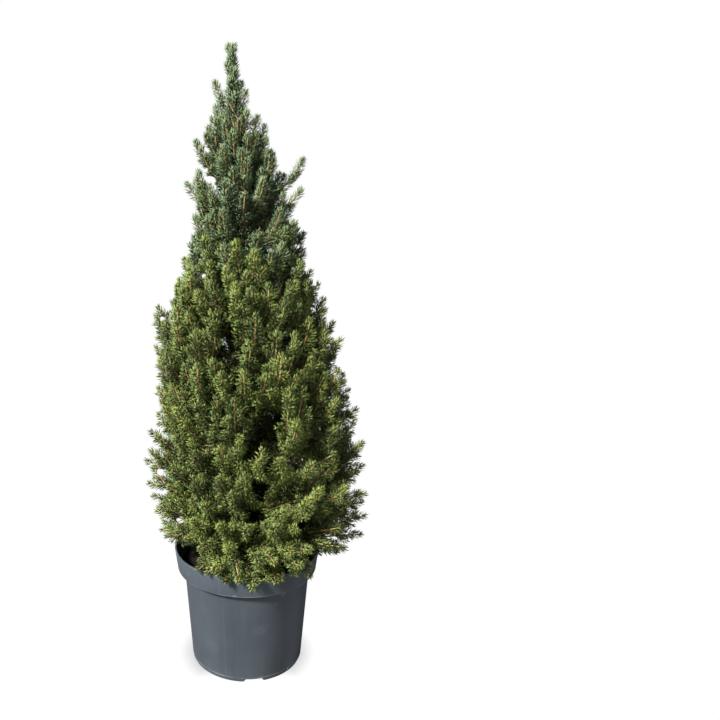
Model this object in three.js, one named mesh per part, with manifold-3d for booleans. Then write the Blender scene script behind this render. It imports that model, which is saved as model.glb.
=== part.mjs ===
// A dwarf Alberta spruce about a metre tall, growing in a round plastic nursery pot.
// Millimetres, +Z up. The origin is the middle of the pot's underside, and the plant's
// front, the side it is usually looked at from, faces -Y.
import * as THREE from "three";
import { mergeVertices } from "three/addons/utils/BufferGeometryUtils.js";
import Module from "manifold-3d";

const wasm = await Module();
wasm.setup();

const rad = THREE.MathUtils.degToRad;
const clamp = THREE.MathUtils.clamp;
const lerp = THREE.MathUtils.lerp;
const smoothstep = THREE.MathUtils.smoothstep;

// The gap kept between pieces that carry each other.
const CLEARANCE = 0.3;

// Pot: a tapered wall with a wide collar, standing on a foot ring and a middle pad.
const POT_HEIGHT = 212;
const RIM_RADIUS = 130;
const COLLAR_HEIGHT = 37;
const COLLAR_RADIUS = 125;
const SHOULDER_RADIUS = 113;
const FOOT_RADIUS = 100;
const FOOT_BEVEL = 2;
const FOOT_RING_WIDTH = 10;
const PAD_RADIUS = 46;
const CHANNEL_DEPTH = 5;
const CHANNEL_SLOPE = 3;
const WALL = 2.6;
const LIP_BEVEL = 1;
const STEP_SLOPE = 2;
const FLOOR = 7.6;
const FLOOR_ROUNDING = 4;
const POT_SIDES = 32;
const NOTCH_COUNT = 4;
const NOTCH_ANGLE = -83.1;
const NOTCH_WIDTH = 37;
const NOTCH_TOP_WIDTH = 28;
const NOTCH_HEIGHT = 6;
const NOTCH_REACH = 24;
const NOTCH_OVERSHOOT = 4;
const NOTCH_SINK = 1;
const DRAIN_RADIUS = 5;
const DRAIN_SIDES = 10;

// Compost: fills the pot to a little above the step under the collar.
const SOIL_TOP = 183;
const SOIL_ROUNDING = 3;

// Trunk: one straight leader that leans a little to the left as it rises.
const TRUNK_TIP = 984;
const TRUNK_BASE_RADIUS = 11;
const TRUNK_TIP_RADIUS = 2;
const FLARE_RADIUS = 17;
const FLARE_HEIGHT = 12;
const TRUNK_SIDES = 8;
const TRUNK_RINGS = 10;
const TRUNK_RING_CROWDING = 1.6;
const TREE_TIP = 1066;
const TOP_LEAN_X = -26;
const SWAY_Y = 5;

// Crown outline: height and radius of its stations, from the skirt at the rim to the tip.
const OUTLINE = [
  [188, 150],
  [250, 178],
  [370, 190],
  [450, 174],
  [560, 158],
  [640, 140],
  [700, 114],
  [740, 96],
  [850, 76],
  [905, 62],
  [950, 40],
  [985, 26],
  [1010, 18],
  [TREE_TIP, 8],
];
// The lower crown bulges to the right, up to the heights where the bulge fades out.
const BELLY_SHIFT = 19;
const BELLY_TOP = [440, 620];
const SHOULDER_SHIFT = 9;
const SHOULDER_RISE = [610, 720];
const SHOULDER_FALL = [780, 880];
// Shoots climb at this angle over level at the foot of the crown, and at its tip.
const CLIMB_LOW = -40;
const CLIMB_TIP = 82;
const CLIMB_POWER = 0.5;

// Tiers of masses. Each starts on a rising cone: its height at the trunk and its slope.
// Inner is where its boughs end and its masses start, as a share of the stem's reach.
const TIERS = [
  { masses: 6, turn: 30, foot: 215, slope: 0, inner: 0.3 },
  { masses: 6, turn: 12, foot: 249, slope: 14, inner: 0.28 },
  { masses: 5, turn: 40, foot: 313, slope: 30, inner: 0.28 },
  { masses: 5, turn: 0, foot: 401, slope: 42, inner: 0.26 },
  { masses: 4, turn: 20, foot: 487, slope: 55, inner: 0.14 },
  { masses: 3, turn: 40, foot: 640, slope: 60, inner: 0.14 },
  { masses: 2, turn: 100, foot: 780, slope: 64, inner: 0.14 },
  { masses: 1, turn: 0, foot: 972, slope: 64, inner: 0 },
];
const LEADER = TIERS.length - 1;
const BOUGH_TIERS = 4;
const SPACE_MARGIN = 1.6;
const LIMB_MARGIN = 1;
// Past this distance the lowest masses may hang below the rim, down to this height.
const RIM_CLEAR_RADIUS = 136;
const SKIRT_FOOT = 184;

// Boughs: bare limbs from the trunk to the mass that each carries.
const BOUGH_BASE_RADIUS = 5.2;
const BOUGH_TAPER = 0.72;
const BOUGH_THINNING = 0.86;
const BOUGH_SAG = 1.5;
const BOUGH_SIDES = 6;

// Masses: a stem with a dense core round it, and twigs that end in sprays of needles.
const STEM_TAPER = 0.45;
const STEM_REACH = 0.8;
const STEM_START = 30;
const STEM_STEP = 2;
const STEM_BEND = 0.55;
const STEM_SIDES = 5;
const STEM_LEVEL = 0.5;
const SKIRT_STEM_LEVEL = 0.4;
const CORE_DEPTH = 50;
const CORE_LEAST = 0.42;
const CORE_START = 8;
const CORE_THINNEST = 1.3;
const CORE_SIDE_FILL = 0.97;
const CORE_LIFT_FILL = 0.93;
const CORE_ROUNDING = 0.2;
const CORE_LUMPS = 0.3;
const CORE_COLUMNS = 4;
const CORE_ROWS = 3;
const CORE_SETTLES = 5;
const SHOOT_LENGTH = 40;
const SHOOT_VARIETY = 0.2;
const SHOOT_LEAST = 0.2;
const SHOOT_STEP = 0.1;
const TWIG_RADIUS = 2.2;
const TWIG_TAPER = 0.8;
const TWIG_SIDES = 3;
const TWIG_SINK = 0.3;
const TWIG_ADVANCE = 10;
const TWIG_FIRST = 0.15;
const TWIG_STEP = 0.05;
const SPRAY_SPACING = 86;
const SPRAY_LENGTH = 62;
const SPRAY_LEAST = 0.58;
const SPRAY_FULL_RADIUS = 110;
const SPRAY_INSET = 20;
const LONE_ROW_LEVEL = 0.7;
const SPRAY_BODY = 0.86;
const SPRAY_BODY_RADIUS = 6;
const SPRAY_BODY_TAPER = 0.55;
const SPRAY_REACH = 18;
const SPRAY_NARROWING = 0.08;
const SPRAY_SIDES = 3;
const SPRAY_SEGMENTS = 2;
const NEEDLE_LEAN = 0.9;
const TIP_SCATTER = 0.1;
const AIM_SCATTER = 8;
const TURN_SCATTER = 0.02;
const LEVEL_SCATTER = 4;
const LEADER_STEM = [0, 0.4, 0.8];
const LEADER_SPRAYS = [0.36, 0.72, 1];
const LEADER_SPRAY_SPAN = 0.4;
const LEADER_SPRAY_FIRST = 0.03;
const LEADER_SPRAY_SIZE = 0.5;
const FIT_ATTEMPTS = 6;
const FIT_SHRINK = 0.4;
const FIT_SWING = 0.5;
const FIT_INWARD = 2;
const SEED = 4127;

// Shoots that stand out of the outline, and the low ones that hang over the rim in front:
// direction round the trunk seen from above (0 is right, -90 is the front), tip height,
// reach from the trunk, climb over level and size.
const STRAYS = [
  { turn: -8, tip: 890, reach: 112, climb: 66, size: 0.8 },
  { turn: -10, tip: 836, reach: 104, climb: 58, size: 0.7 },
  { turn: 172, tip: 905, reach: 74, climb: 70, size: 0.7 },
  { turn: 170, tip: 655, reach: 150, climb: 58, size: 0.8 },
  { turn: -6, tip: 444, reach: 200, climb: 34, size: 0.8 },
  { turn: -4, tip: 376, reach: 212, climb: 24, size: 0.8 },
  { turn: 180, tip: 356, reach: 184, climb: 24, size: 0.8 },
  { turn: -14, tip: 222, reach: 186, climb: 4, size: 0.75 },
  { turn: 180, tip: 1014, reach: 26, climb: 76, size: 0.5 },
  ...[-134, -108, -92, -76, -52, -38].map((turn) => ({
    turn,
    tip: 199,
    reach: 158,
    climb: -50,
    size: 0.66,
  })),
];

// Returns a repeatable source of numbers from 0 to 1 for one seed.
function seededNumbers(seed) {
  let state = seed >>> 0;
  return function next() {
    state = (state + 0x6d2b79f5) >>> 0;
    let mixed = Math.imul(state ^ (state >>> 15), state | 1);
    mixed = (mixed + Math.imul(mixed ^ (mixed >>> 7), mixed | 61)) ^ mixed;
    return ((mixed ^ (mixed >>> 14)) >>> 0) / 4294967296;
  };
}

const spread = (next, size) => (next() * 2 - 1) * size;

function solidOf(geometry) {
  const bare = geometry.clone();
  bare.deleteAttribute("normal");
  bare.deleteAttribute("uv");
  const merged = mergeVertices(bare, 1e-4);
  return new wasm.Manifold(
    new wasm.Mesh({
      numProp: 3,
      vertProperties: merged.attributes.position.array,
      triVerts: new Uint32Array(merged.index.array),
    }),
  );
}

function geometryOf(solid) {
  const made = solid.getMesh();
  const geometry = new THREE.BufferGeometry();
  geometry.setAttribute("position", new THREE.BufferAttribute(made.vertProperties, 3));
  geometry.setIndex(new THREE.BufferAttribute(made.triVerts, 1));
  geometry.computeVertexNormals();
  return geometry;
}

// Keeps the biggest body, so that loose scraps go and sealed hollows fill.
function largestBody(solid) {
  const bodies = solid.decompose();
  return bodies.reduce((best, body) => (body.volume() > best.volume() ? body : best));
}

function closedGeometry(vertices, faces) {
  const geometry = new THREE.BufferGeometry();
  const numbers = vertices.flatMap((vertex) => vertex.toArray());
  geometry.setAttribute("position", new THREE.Float32BufferAttribute(numbers, 3));
  geometry.setIndex(faces.flat());
  return geometry;
}

// Two directions square to an axis, the same ones for the same axis.
function sideways(axis) {
  const guide = Math.abs(axis.z) > 0.9 ? new THREE.Vector3(1, 0, 0) : new THREE.Vector3(0, 0, 1);
  const across = new THREE.Vector3().crossVectors(axis, guide).normalize();
  return [across, new THREE.Vector3().crossVectors(axis, across)];
}

// A tapering limb along points, with its own radius at each; upright keeps its rings level.
function limb(points, radii, sides, upright = false) {
  const vertices = [];
  const faces = [];
  points.forEach((point, i) => {
    const before = points[Math.max(i - 1, 0)];
    const after = points[Math.min(i + 1, points.length - 1)];
    const axis = upright ? new THREE.Vector3(0, 0, 1) : after.clone().sub(before).normalize();
    const [across, up] = sideways(axis);
    for (let side = 0; side < sides; side++) {
      const turn = (side / sides) * Math.PI * 2;
      vertices.push(
        point
          .clone()
          .addScaledVector(across, Math.cos(turn) * radii[i])
          .addScaledVector(up, Math.sin(turn) * radii[i]),
      );
    }
  });
  for (let ring = 0; ring + 1 < points.length; ring++) {
    for (let side = 0; side < sides; side++) {
      const a = ring * sides + side;
      const b = ring * sides + ((side + 1) % sides);
      faces.push([a, b, b + sides], [a, b + sides, a + sides]);
    }
  }
  const last = (points.length - 1) * sides;
  for (let side = 1; side + 1 < sides; side++) {
    faces.push([0, side + 1, side], [last, last + side, last + side + 1]);
  }
  return closedGeometry(vertices, faces);
}

// The trunk's line, which the crown is built round.
function trunkAt(height) {
  const rise = (height - SOIL_TOP) / (TREE_TIP - SOIL_TOP);
  return new THREE.Vector3(TOP_LEAN_X * rise * rise, SWAY_Y * Math.sin(rise * Math.PI * 2), height);
}

function trunkRadius(height) {
  const rise = clamp((height - SOIL_TOP) / (TRUNK_TIP - SOIL_TOP), 0, 1);
  const flare = Math.exp((SOIL_TOP - height) / FLARE_HEIGHT);
  return lerp(TRUNK_BASE_RADIUS, TRUNK_TIP_RADIUS, rise) + (FLARE_RADIUS - TRUNK_BASE_RADIUS) * flare;
}

// The crown's radius at a height, measured from the trunk's line towards one direction.
function outlineRadius(height, turn) {
  const at = clamp(height, OUTLINE[0][0], TREE_TIP);
  const next = Math.max(1, OUTLINE.findIndex(([z]) => z >= at));
  const [lowZ, lowR] = OUTLINE[next - 1];
  const [highZ, highR] = OUTLINE[next];
  const round = lerp(lowR, highR, (at - lowZ) / (highZ - lowZ));
  const belly = BELLY_SHIFT * (1 - smoothstep(height, BELLY_TOP[0], BELLY_TOP[1]));
  const rise = smoothstep(height, SHOULDER_RISE[0], SHOULDER_RISE[1]);
  const fall = 1 - smoothstep(height, SHOULDER_FALL[0], SHOULDER_FALL[1]);
  return round + (belly + SHOULDER_SHIFT * rise * fall) * Math.cos(turn);
}

function climbAt(height) {
  const rise = clamp((height - OUTLINE[0][0]) / (TREE_TIP - OUTLINE[0][0]), 0, 1);
  return rad(lerp(CLIMB_LOW, CLIMB_TIP, rise ** CLIMB_POWER));
}

// The height of a tier's lower side at a distance from the trunk.
function tierFloor(tier, distance) {
  if (tier === 0) return distance > RIM_CLEAR_RADIUS ? SKIRT_FOOT : TIERS[0].foot;
  if (tier === TIERS.length) return Infinity;
  return TIERS[tier].foot + distance * Math.tan(rad(TIERS[tier].slope));
}

// A point by its distance from the trunk's line, its turn round it and its height.
function crownPoint(distance, turn, height) {
  return trunkAt(height).add(new THREE.Vector3(Math.cos(turn) * distance, Math.sin(turn) * distance, 0));
}

function heading(turn, climb) {
  const level = Math.cos(climb);
  return new THREE.Vector3(Math.cos(turn) * level, Math.sin(turn) * level, Math.sin(climb));
}

function placeOf(point) {
  const axis = trunkAt(point.z);
  const x = point.x - axis.x;
  const y = point.y - axis.y;
  return { distance: Math.hypot(x, y), turn: Math.atan2(y, x) };
}

function turnBetween(a, b) {
  return Math.atan2(Math.sin(a - b), Math.cos(a - b));
}

// True if a point lies in a mass's own space, clear of its neighbours and of the limbs.
function insideSpace(mass, point) {
  const { distance, turn } = placeOf(point);
  if (point.z < tierFloor(mass.tier, distance) + SPACE_MARGIN) return false;
  if (point.z > tierFloor(mass.tier + 1, distance) - SPACE_MARGIN) return false;
  if (distance < trunkRadius(point.z) + LIMB_MARGIN && point.z < TRUNK_TIP + LIMB_MARGIN) return false;
  if (mass.halfTurn >= Math.PI) return true;
  const off = Math.abs(turnBetween(turn, mass.turn));
  return off < mass.halfTurn && Math.sin(mass.halfTurn - off) * distance > SPACE_MARGIN;
}

function clearOfBough(mass, point) {
  if (!mass.bough) return true;
  const along = mass.bough.closestPointToPoint(point, true, new THREE.Vector3());
  return along.distanceTo(point) > mass.boughRadius + LIMB_MARGIN;
}

// Height of the middle of a mass at a distance from the trunk, where its stem runs.
function stemHeight(tier, distance) {
  const low = tierFloor(tier, distance);
  const high = tierFloor(tier + 1, distance);
  return lerp(low, high, tier === 0 ? SKIRT_STEM_LEVEL : STEM_LEVEL);
}

function listMasses() {
  const masses = [];
  TIERS.forEach((size, tier) => {
    for (let i = 0; i < size.masses; i++) {
      masses.push({
        name: tier === LEADER ? "leader_foliage" : `tier${tier + 1}_foliage_${i + 1}`,
        boughName: `tier${tier + 1}_bough_${i + 1}`,
        tier,
        turn: rad(size.turn + (i * 360) / size.masses),
        halfTurn: size.masses === 1 ? Math.PI : Math.PI / size.masses,
        seed: SEED + tier * 101 + i * 17,
      });
    }
  });
  return masses;
}

// The outer end of a mass's stem, found where its middle line nears the outline.
function stemEnd(mass) {
  let distance = STEM_START;
  const inside = (d) => d < outlineRadius(stemHeight(mass.tier, d), mass.turn) * STEM_REACH;
  while (inside(distance)) distance += STEM_STEP;
  return distance;
}

function planStem(mass) {
  if (mass.tier === LEADER) {
    mass.stem = LEADER_STEM.map((share) => trunkAt(lerp(TRUNK_TIP + CLEARANCE, TREE_TIP, share)));
    mass.stemRadius = TRUNK_TIP_RADIUS;
    return;
  }
  const outer = stemEnd(mass);
  const at = (distance) => crownPoint(distance, mass.turn, stemHeight(mass.tier, distance));
  mass.coreStart = outer * TIERS[mass.tier].inner;
  const foot = trunkAt(stemHeight(mass.tier, 0));
  const girth = BOUGH_BASE_RADIUS * BOUGH_THINNING ** mass.tier;
  if (mass.tier < BOUGH_TIERS) {
    const tip = at(mass.coreStart);
    const onward = tip.clone().sub(foot).normalize();
    mass.bough = new THREE.Line3(foot, tip);
    mass.boughRadius = girth;
    mass.stem = [CLEARANCE, CORE_START].map((step) => tip.clone().addScaledVector(onward, step));
    mass.stemRadius = girth * BOUGH_TAPER;
  } else {
    mass.stem = [foot];
    mass.stemRadius = girth;
  }
  mass.stem.push(at(lerp(mass.coreStart, outer, STEM_BEND)), at(outer));
}

// The dense middle of a mass: a rounded block that fills the inner part of its space, with
// the outer facets drawn out to points as the tips of the shoots behind the sprays are.
function core(mass, next) {
  const block = new THREE.BoxGeometry(2, 2, 2, 1, CORE_COLUMNS, CORE_ROWS);
  const outerFacets = block.groups[0].count / 6;
  block.deleteAttribute("normal");
  block.deleteAttribute("uv");
  const merged = mergeVertices(block, 1e-4);
  const corners = merged.attributes.position;
  const vertices = [];
  for (let i = 0; i < corners.count; i++) {
    vertices.push(corePoint(mass, new THREE.Vector3().fromBufferAttribute(corners, i), next));
  }
  const faces = [];
  const index = merged.index.array;
  for (let facet = 0; facet < index.length / 6; facet++) {
    const [a, b, d, , c] = index.slice(facet * 6, facet * 6 + 6);
    const peak = facet < outerFacets ? shootTip(mass, [a, b, c, d].map((i) => vertices[i]), next) : null;
    if (peak) {
      const top = vertices.push(peak) - 1;
      faces.push([a, b, top], [b, c, top], [c, d, top], [d, a, top]);
    } else {
      faces.push([a, b, d], [b, c, d]);
    }
  }
  return closedGeometry(vertices, faces);
}

// One corner of the core: out along the mass, across it and up it, each from -1 to 1.
function corePoint(mass, corner, next) {
  corner.setLength(lerp(corner.length(), 1, CORE_ROUNDING));
  const along = (corner.x + 1) / 2;
  const turn = mass.turn + corner.y * mass.halfTurn * CORE_SIDE_FILL;
  const level = (corner.z * CORE_LIFT_FILL + 1) / 2;
  const depth = CORE_DEPTH * (1 + spread(next, CORE_LUMPS));
  const inner = mass.coreStart + CORE_START;
  let distance = inner;
  let height = 0;
  for (let settle = 0; settle < CORE_SETTLES; settle++) {
    const low = tierFloor(mass.tier, Math.min(distance, RIM_CLEAR_RADIUS));
    height = lerp(low, tierFloor(mass.tier + 1, distance), level);
    const outline = outlineRadius(height, turn);
    const outer = Math.max(outline - depth, outline * CORE_LEAST, inner * CORE_THINNEST);
    distance = lerp(inner, outer, along);
  }
  return crownPoint(distance, turn, height);
}

// The point that a facet of the core is drawn out to, as far as the mass's space allows.
function shootTip(mass, facet, next) {
  const middle = facet.reduce((sum, corner) => sum.add(corner), new THREE.Vector3()).divideScalar(4);
  const { turn } = placeOf(middle);
  const climb = climbAt(middle.z) + rad(spread(next, AIM_SCATTER));
  const full = SHOOT_LENGTH * (1 + spread(next, SHOOT_VARIETY));
  for (let share = 1; share > SHOOT_LEAST; share -= SHOOT_STEP) {
    const peak = middle.clone().addScaledVector(heading(turn, climb), full * share);
    if (insideSpace(mass, peak)) return peak;
  }
  return null;
}

// A spray: a slim body with one stout needle standing forward out of each of its facets.
function spray(root, tip, size) {
  const axis = tip.clone().sub(root);
  const body = axis.length() * SPRAY_BODY;
  axis.normalize();
  const [across, up] = sideways(axis);
  const vertices = [];
  const faces = [];
  const place = (along, turn, radius) =>
    vertices.push(
      root
        .clone()
        .addScaledVector(axis, along)
        .addScaledVector(across, Math.cos(turn) * radius)
        .addScaledVector(up, Math.sin(turn) * radius),
    ) - 1;
  const turnAt = (ring, side) => ((side + ring / 2) / SPRAY_SIDES) * Math.PI * 2;
  for (let ring = 0; ring <= SPRAY_SEGMENTS; ring++) {
    const share = ring / SPRAY_SEGMENTS;
    const radius = SPRAY_BODY_RADIUS * size * lerp(1, SPRAY_BODY_TAPER, share);
    for (let side = 0; side < SPRAY_SIDES; side++) place(body * share, turnAt(ring, side), radius);
  }
  for (let ring = 0; ring < SPRAY_SEGMENTS; ring++) {
    const reach = SPRAY_REACH * size * (1 - ring * SPRAY_NARROWING);
    const along = (body * (ring + 0.5)) / SPRAY_SEGMENTS + reach * NEEDLE_LEAN;
    for (let side = 0; side < SPRAY_SIDES; side++) {
      const a = ring * SPRAY_SIDES + side;
      const b = ring * SPRAY_SIDES + ((side + 1) % SPRAY_SIDES);
      const needle = place(along, turnAt(ring + 0.5, side + 0.5), reach);
      const facet = [a, b, b + SPRAY_SIDES, a + SPRAY_SIDES];
      facet.forEach((corner, i) => faces.push([corner, facet[(i + 1) % 4], needle]));
    }
  }
  const end = vertices.push(tip.clone()) - 1;
  const last = SPRAY_SEGMENTS * SPRAY_SIDES;
  for (let side = 0; side < SPRAY_SIDES; side++) {
    faces.push([last + side, last + ((side + 1) % SPRAY_SIDES), end]);
  }
  for (let side = 1; side + 1 < SPRAY_SIDES; side++) faces.push([0, side + 1, side]);
  return { geometry: closedGeometry(vertices, faces), vertices };
}

// Where a mass's sprays end: rows and columns over its part of the outline, scattered.
function sprayTips(mass, next) {
  const tips = [];
  if (mass.tier < LEADER) {
    const low = crossing(mass.tier, mass.turn);
    const high = crossing(mass.tier + 1, mass.turn);
    const girth = outlineRadius((low + high) / 2, mass.turn);
    const size = clamp(girth / SPRAY_FULL_RADIUS, SPRAY_LEAST, 1);
    const inset = SPRAY_INSET * size;
    const bottom = low + inset / Math.cos(rad(TIERS[mass.tier].slope));
    const top = high - inset / Math.cos(rad(TIERS[mass.tier + 1].slope));
    const rows = size < 1 ? 1 : 1 + Math.round((top - bottom) / SPRAY_SPACING);
    for (let row = 0; row < rows; row++) {
      const level = rows > 1 ? lerp(bottom, top, row / (rows - 1)) : lerp(bottom, top, LONE_ROW_LEVEL);
      const radius = outlineRadius(level, mass.turn);
      const side = Math.max(mass.halfTurn - inset / radius, 0);
      const most = 1 + Math.round((side * 2 * radius) / SPRAY_SPACING);
      const columns = row % 2 ? Math.max(most - 1, 2) : most;
      for (let column = 0; column < columns; column++) {
        const share = columns > 1 ? column / (columns - 1) : 0.5;
        const turn = mass.turn + lerp(-side, side, share) + spread(next, TURN_SCATTER);
        const height = level + spread(next, LEVEL_SCATTER);
        const distance = outlineRadius(height, turn) * (1 - next() * TIP_SCATTER);
        const climb = climbAt(height) + rad(spread(next, AIM_SCATTER));
        const swing = rad(spread(next, AIM_SCATTER));
        tips.push({ point: crownPoint(distance, turn, height), turn: turn + swing, climb, size });
      }
    }
  }
  for (const stray of STRAYS) {
    const turn = rad(stray.turn);
    const point = crownPoint(stray.reach, turn, stray.tip);
    if (insideSpace(mass, point)) tips.push({ point, turn, climb: rad(stray.climb), size: stray.size });
  }
  return tips;
}

// The height at which a tier's lower side comes out through the crown's outline.
function crossing(tier, turn) {
  let height = TIERS[tier].foot;
  while (tierFloor(tier, outlineRadius(height, turn)) > height) height += 1;
  return height;
}

// A twig and its spray for one tip, moved and made smaller until it fits its space.
function fittedSpray(mass, tip) {
  const stem = new THREE.CatmullRomCurve3(mass.stem);
  for (let attempt = 0; attempt < FIT_ATTEMPTS; attempt++) {
    const yielding = attempt / FIT_ATTEMPTS;
    const size = tip.size * (1 - yielding * FIT_SHRINK);
    const { distance, turn } = placeOf(tip.point);
    const towards = turnBetween(mass.turn, turn) * yielding * FIT_SWING;
    const end = crownPoint(distance - attempt * FIT_INWARD, turn + towards, tip.point.z);
    const root = end.clone().addScaledVector(heading(tip.turn + towards, tip.climb), -SPRAY_LENGTH * size);
    const made = spray(root, end, size);
    const fits = made.vertices.every((v) => insideSpace(mass, v) && clearOfBough(mass, v));
    if (fits) {
      const join = twigFoot(stem, root);
      const sunk = root.clone().lerp(end, TWIG_SINK);
      const radii = [1, 1, TWIG_TAPER].map((share) => share * TWIG_RADIUS);
      const twig = limb([join, root, sunk], radii, TWIG_SIDES);
      return [made.geometry, twig];
    }
  }
  return [];
}

// The place on a stem that a twig leaves from: a little nearer the trunk than its outer end.
function twigFoot(stem, point) {
  const out = placeOf(point).distance;
  let foot = stem.getPoint(TWIG_FIRST);
  for (let share = TWIG_FIRST; share <= 1; share += TWIG_STEP) {
    const spot = stem.getPoint(share);
    if (placeOf(spot).distance < out - TWIG_ADVANCE) foot = spot;
  }
  return foot;
}

// The leader's own needles: short sprays end to end up its stem.
function leaderSprays(mass) {
  const stem = new THREE.CatmullRomCurve3(mass.stem);
  return LEADER_SPRAYS.map((share) => {
    const root = stem.getPoint(Math.max(share - LEADER_SPRAY_SPAN, LEADER_SPRAY_FIRST));
    const end = share === 1 ? trunkAt(TREE_TIP) : stem.getPoint(share);
    return spray(root, end, LEADER_SPRAY_SIZE).geometry;
  });
}

function stemLimb(mass) {
  const count = mass.stem.length;
  const radii = mass.stem.map((_, i) => mass.stemRadius * lerp(1, STEM_TAPER, i / (count - 1)));
  return limb(mass.stem, radii, STEM_SIDES);
}

function foliage(mass) {
  const next = seededNumbers(mass.seed);
  const parts = [stemLimb(mass)];
  if (mass.tier === LEADER) parts.push(...leaderSprays(mass));
  else parts.push(core(mass, next));
  for (const tip of sprayTips(mass, next)) parts.push(...fittedSpray(mass, tip));
  return wasm.Manifold.union(parts.map(solidOf));
}

function trunk(extra = 0) {
  const points = [];
  const radii = [];
  for (let i = 0; i <= TRUNK_RINGS; i++) {
    const share = i / TRUNK_RINGS;
    const height = lerp(SOIL_TOP + CLEARANCE, TRUNK_TIP, share ** TRUNK_RING_CROWDING);
    points.push(trunkAt(height));
    radii.push(trunkRadius(height) + extra);
  }
  return limb(points, radii, TRUNK_SIDES, true);
}

function bough(mass) {
  const { start, end } = mass.bough;
  const middle = start.clone().lerp(end, 0.5).add(new THREE.Vector3(0, 0, -BOUGH_SAG));
  const radii = [0, 0.5, 1].map((share) => mass.boughRadius * lerp(1, BOUGH_TAPER, share));
  return limb([start, middle, end], radii, BOUGH_SIDES);
}

function pot() {
  const shoulder = POT_HEIGHT - COLLAR_HEIGHT;
  const ringInside = FOOT_RADIUS - FOOT_BEVEL - FOOT_RING_WIDTH;
  const outline = [
    [0, 0],
    [PAD_RADIUS, 0],
    [PAD_RADIUS + CHANNEL_SLOPE, CHANNEL_DEPTH],
    [ringInside, CHANNEL_DEPTH],
    [ringInside + CHANNEL_SLOPE, 0],
    [FOOT_RADIUS - FOOT_BEVEL, 0],
    [FOOT_RADIUS, FOOT_BEVEL * 2],
    [SHOULDER_RADIUS, shoulder],
    [COLLAR_RADIUS - LIP_BEVEL, shoulder],
    [COLLAR_RADIUS, shoulder + LIP_BEVEL],
    [RIM_RADIUS, POT_HEIGHT],
    [RIM_RADIUS - WALL, POT_HEIGHT],
    [COLLAR_RADIUS - WALL, shoulder + WALL + STEP_SLOPE],
    [SHOULDER_RADIUS - WALL, shoulder + WALL],
    [FOOT_RADIUS - WALL, FLOOR + FLOOR_ROUNDING],
    [FOOT_RADIUS - WALL - FLOOR_ROUNDING, FLOOR],
    [0, FLOOR],
  ];
  const profile = outline.map(([r, z]) => new THREE.Vector2(r, z));
  const body = new THREE.LatheGeometry(profile, POT_SIDES).rotateX(Math.PI / 2);
  const notches = [];
  for (let i = 0; i < NOTCH_COUNT; i++) {
    const turn = rad(NOTCH_ANGLE + (i * 360) / NOTCH_COUNT);
    notches.push(solidOf(notch(turn)), solidOf(drainHole(turn + Math.PI / NOTCH_COUNT)));
  }
  return solidOf(body).subtract(wasm.Manifold.union(notches));
}

// The cutter of one drainage notch: a low trapezoid pushed in through the foot ring.
function notch(turn) {
  const shape = new THREE.Shape([
    new THREE.Vector2(-NOTCH_WIDTH / 2 - NOTCH_SINK, -NOTCH_SINK),
    new THREE.Vector2(NOTCH_WIDTH / 2 + NOTCH_SINK, -NOTCH_SINK),
    new THREE.Vector2(NOTCH_TOP_WIDTH / 2, NOTCH_HEIGHT),
    new THREE.Vector2(-NOTCH_TOP_WIDTH / 2, NOTCH_HEIGHT),
  ]);
  const block = new THREE.ExtrudeGeometry(shape, { depth: NOTCH_REACH, bevelEnabled: false });
  block.rotateX(Math.PI / 2).rotateZ(Math.PI / 2 + turn);
  const start = FOOT_RADIUS + NOTCH_OVERSHOOT - NOTCH_REACH;
  return block.translate(Math.cos(turn) * start, Math.sin(turn) * start, 0);
}

function drainHole(turn) {
  const hole = new THREE.CylinderGeometry(DRAIN_RADIUS, DRAIN_RADIUS, FLOOR * 3, DRAIN_SIDES);
  hole.rotateX(Math.PI / 2);
  const middle = (PAD_RADIUS + FOOT_RADIUS - FOOT_RING_WIDTH) / 2;
  return hole.translate(Math.cos(turn) * middle, Math.sin(turn) * middle, 0);
}

function soil() {
  const step = POT_HEIGHT - COLLAR_HEIGHT + WALL;
  const inset = WALL + CLEARANCE;
  const inside = FLOOR + CLEARANCE;
  const outline = [
    [0, inside],
    [FOOT_RADIUS - inset - FLOOR_ROUNDING, inside],
    [FOOT_RADIUS - inset, inside + FLOOR_ROUNDING],
    [SHOULDER_RADIUS - inset, step + CLEARANCE],
    [COLLAR_RADIUS - inset - SOIL_ROUNDING, step + STEP_SLOPE + CLEARANCE],
    [COLLAR_RADIUS - inset - SOIL_ROUNDING, SOIL_TOP],
    [0, SOIL_TOP],
  ];
  const profile = outline.map(([r, z]) => new THREE.Vector2(r, z));
  return new THREE.LatheGeometry(profile, POT_SIDES).rotateX(Math.PI / 2);
}

const finish = (color, roughness) => new THREE.MeshStandardMaterial({ color, roughness, metalness: 0 });
const plastic = finish(0x50565c, 0.55);
const compost = finish(0x2a1d14, 0.95);
const bark = finish(0x8a5a35, 0.85);
const needles = finish(0x3f5f2a, 0.7);

const plant = new THREE.Group();

function add(name, geometry, material) {
  const mesh = new THREE.Mesh(geometry, material);
  mesh.name = name;
  plant.add(mesh);
}

add("pot", geometryOf(largestBody(pot())), plastic);
add("soil", geometryOf(solidOf(soil())), compost);
add("trunk", geometryOf(solidOf(trunk())), bark);

const roundTrunk = solidOf(trunk(CLEARANCE));
const masses = listMasses();
for (const mass of masses) {
  planStem(mass);
  const pieces = [[mass.name, foliage(mass), needles]];
  if (mass.bough) pieces.push([mass.boughName, solidOf(bough(mass)), bark]);
  for (const [name, solid, material] of pieces) {
    add(name, geometryOf(largestBody(solid.subtract(roundTrunk))), material);
  }
}

export default plant;
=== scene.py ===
# A dwarf Alberta spruce about a metre tall, growing in a round plastic nursery pot.
# Metres, +Z up. The origin is the middle of the pot's underside and the front faces -Y.
import math
from collections import namedtuple

import bmesh
import bpy
import numpy as np
from mathutils import Matrix, Vector, noise


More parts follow.
